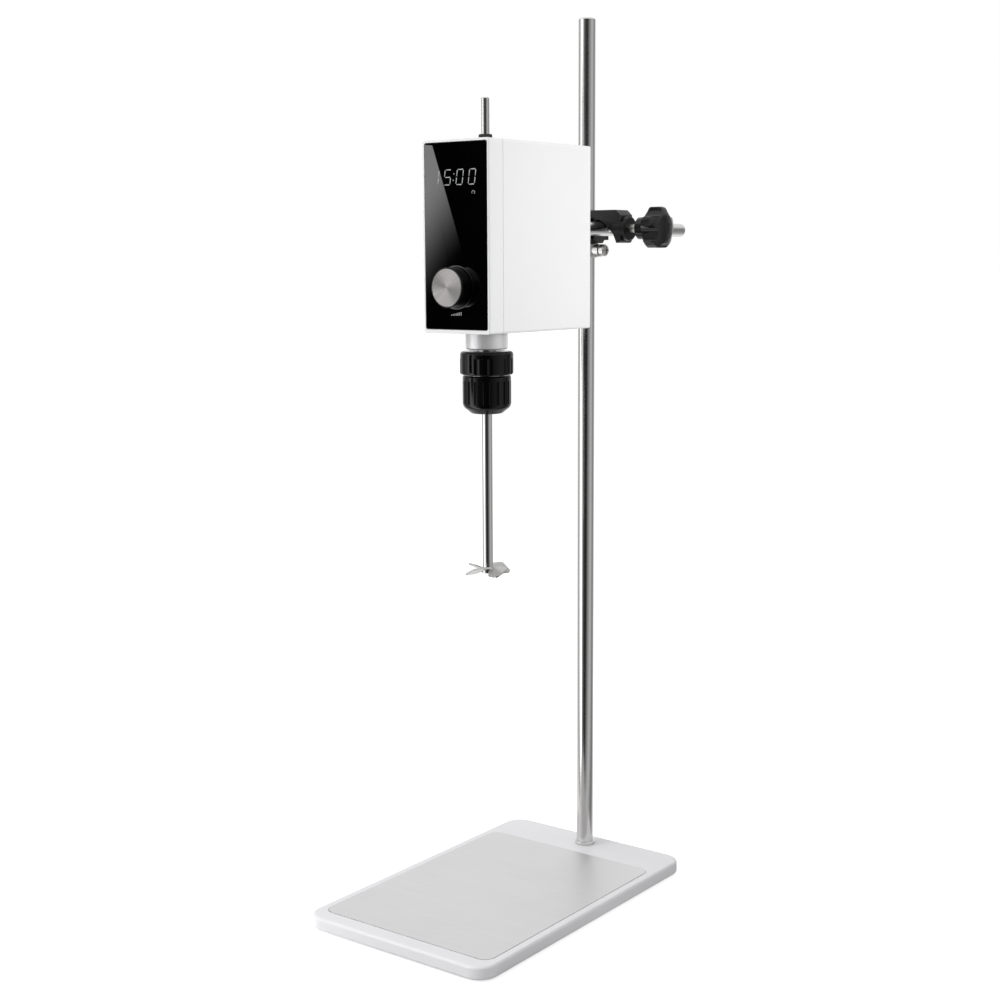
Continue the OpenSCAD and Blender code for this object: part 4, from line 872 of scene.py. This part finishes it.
class STIRRER_OT_stage(bpy.types.Operator):
    """Sets the floor, the lights, the reflection card, the surroundings and the camera"""

    bl_idname = "stirrer.stage"
    bl_label = "Stage"

    def execute(self, context):
        self.floor(context)
        self.lights(context)
        self.card(context)
        self.world(context)
        self.camera(context)
        context.scene.view_settings.view_transform = "Standard"
        context.scene.view_settings.look = "None"
        return {"FINISHED"}

    def floor(self, context):
        """White paper, whose reflection in the metal carries on the room's bands"""
        bpy.ops.mesh.primitive_plane_add(size=FLOOR_SIZE, location=(0, 0, 0))
        floor = context.active_object
        floor.name = "floor"
        paper = Finish("floor_paper", (0.62, 0.62, 0.62), 0.9, specular_ior_level=0.0)
        paper.shade(paper.effect("grain", Scale=60.0)["Tone"], amount=0.01)
        tree = paper.tree
        ray = add_node(tree, "ShaderNodeLightPath").outputs
        room = add_node(tree, "ShaderNodeGroup", node_tree=room_group())
        tree.links.new(paper.coordinates, room.inputs["Vector"])
        glow = add_node(tree, "ShaderNodeEmission")
        glow.inputs["Strength"].default_value = PAPER_GLOW
        mirrored = add_node(tree, "ShaderNodeEmission")
        tree.links.new(room.outputs["Level"], mirrored.inputs["Strength"])
        lit = add_node(tree, "ShaderNodeAddShader")
        tree.links.new(paper.shader.outputs[0], lit.inputs[0])
        tree.links.new(glow.outputs[0], lit.inputs[1])
        seen = chosen_shader(tree, ray["Is Camera Ray"], paper.shader.outputs[0], lit.outputs[0])
        whole = chosen_shader(tree, ray["Is Glossy Ray"], seen, mirrored.outputs[0])
        tree.links.new(whole, tree.nodes["Material Output"].inputs[0])
        floor.data.materials.append(paper.material)

    def lights(self, context):
        for name, spot, aim, size, power, spread_angle in LIGHTS:
            data = bpy.data.lights.new(name, "AREA")
            data.shape = "RECTANGLE"
            data.size, data.size_y = size
            data.energy = power
            data.spread = math.radians(spread_angle)
            light = bpy.data.objects.new(name, data)
            light.location = spot
            light.rotation_euler = (Vector(aim) - Vector(spot)).to_track_quat("-Z", "Y").to_euler()
            light.visible_glossy = False
            context.scene.collection.objects.link(light)

    def card(self, context):
        """A card that the glass panel mirrors: lit along its left part, black beyond a slanting edge"""
        mesh = bpy.data.meshes.new("panel_card")
        bm = bmesh.new()
        bmesh.ops.create_grid(bm, x_segments=1, y_segments=1, size=0.5)
        matrix = Matrix.Translation(CARD_AT) @ FACING_FRONT @ Matrix.Diagonal((*CARD_SIZE, 1, 1))
        bmesh.ops.transform(bm, matrix=matrix, verts=bm.verts)
        bm.to_mesh(mesh)
        bm.free()
        card = bpy.data.objects.new("panel_card", mesh)
        context.scene.collection.objects.link(card)
        mesh.materials.append(self.card_light())
        card.visible_camera = False
        card.visible_diffuse = False
        card.visible_shadow = False

    def card_light(self):
        """The card's own light, which fades downwards and towards +X"""
        material = bpy.data.materials.new("panel_card")
        material.use_nodes = True
        tree = material.node_tree
        tree.nodes.clear()
        out = tree.nodes.new("ShaderNodeOutputMaterial")
        glow = tree.nodes.new("ShaderNodeEmission")
        x, _, z = split(tree, add_node(tree, "ShaderNodeTexCoord").outputs["Object"])
        edge_x, edge_z = CARD_EDGE_AT
        edge = maths(tree, "ADD", scaled(tree, maths(tree, "SUBTRACT", z, edge_z), CARD_EDGE_SLOPE), edge_x)
        lit = spread(tree, maths(tree, "SUBTRACT", edge, x), -CARD_EDGE_BLUR, CARD_EDGE_BLUR)
        diagonal = maths(tree, "SUBTRACT", z, maths(tree, "ADD", x, CARD_FADE_FROM))
        fade = maths(tree, "POWER", spread(tree, diagonal, *CARD_FADE), CARD_FADE_POWER)
        level = scaled(tree, maths(tree, "MULTIPLY", fade, lit), CARD_LEVEL)
        tree.links.new(level, glow.inputs["Strength"])
        tree.links.new(glow.outputs[0], out.inputs[0])
        return material

    def world(self, context):
        """White to the camera and even to matt surfaces; bands of light and shade to the polished ones"""
        world = bpy.data.worlds.new("studio")
        context.scene.world = world
        world.use_nodes = True
        tree = world.node_tree
        room = add_node(tree, "ShaderNodeGroup", node_tree=room_group())
        tree.links.new(add_node(tree, "ShaderNodeTexCoord").outputs["Generated"], room.inputs["Vector"])
        ray = add_node(tree, "ShaderNodeLightPath").outputs
        even = maths(tree, "ADD", scaled(tree, ray["Is Camera Ray"], 1.0 - EVEN_LIGHT), EVEN_LIGHT)
        mix = add_node(tree, "ShaderNodeMix", data_type="FLOAT")
        tree.links.new(ray["Is Glossy Ray"], mix.inputs["Factor"])
        tree.links.new(even, mix.inputs["A"])
        tree.links.new(room.outputs["Level"], mix.inputs["B"])
        tree.links.new(mix.outputs["Result"], tree.nodes["Background"].inputs["Strength"])
        tree.nodes["Background"].inputs["Color"].default_value = (1, 1, 1, 1)

    def camera(self, context):
        data = bpy.data.cameras.new("camera")
        data.sensor_fit = "HORIZONTAL"
        data.sensor_width = SENSOR_WIDTH
        data.lens = CAMERA_LENS
        data.clip_end = 100
        camera = bpy.data.objects.new("camera", data)
        context.scene.collection.objects.link(camera)
        yaw, pitch, roll = CAMERA_TURNS
        right = Vector((math.cos(yaw), math.sin(yaw), 0))
        back = Vector((math.sin(yaw) * math.cos(pitch), -math.cos(yaw) * math.cos(pitch), math.sin(pitch)))
        up = back.cross(right)
        c, s = math.cos(roll), math.sin(roll)
        matrix = Matrix((c * right + s * up, c * up - s * right, back)).transposed().to_4x4()
        matrix.translation = CAMERA_AT
        camera.matrix_world = matrix
        context.scene.camera = camera


class STIRRER_PT_panel(bpy.types.Panel):
    """Lists the stirrer's settings and the steps that dress it"""

    bl_idname = "STIRRER_PT_panel"
    bl_label = "Overhead stirrer"
    bl_space_type = "VIEW_3D"
    bl_region_type = "UI"
    bl_category = "Stirrer"

    def draw(self, context):
        for group in (colours(), sizes()):
            for key in group.__annotations__:
                self.layout.prop(group, key)
        for step in STEPS:
            self.layout.operator(step.bl_idname)


STEPS = (STIRRER_OT_stage, STIRRER_OT_finishes, STIRRER_OT_soft_edges, STIRRER_OT_display, STIRRER_OT_marks)
CLASSES = (StirrerColours, StirrerSizes, *STEPS, STIRRER_PT_panel)


def register():
    for cls in CLASSES:
        bpy.utils.register_class(cls)
    bpy.types.Scene.stirrer_colours = bpy.props.PointerProperty(type=StirrerColours)
    bpy.types.Scene.stirrer_sizes = bpy.props.PointerProperty(type=StirrerSizes)


def unregister():
    del bpy.types.Scene.stirrer_sizes
    del bpy.types.Scene.stirrer_colours
    for cls in reversed(CLASSES):
        bpy.utils.unregister_class(cls)


def main():
    register()
    for step in STEPS:
        group, name = step.bl_idname.split(".")
        getattr(getattr(bpy.ops, group), name)()


if __name__ == "__main__":
    main()
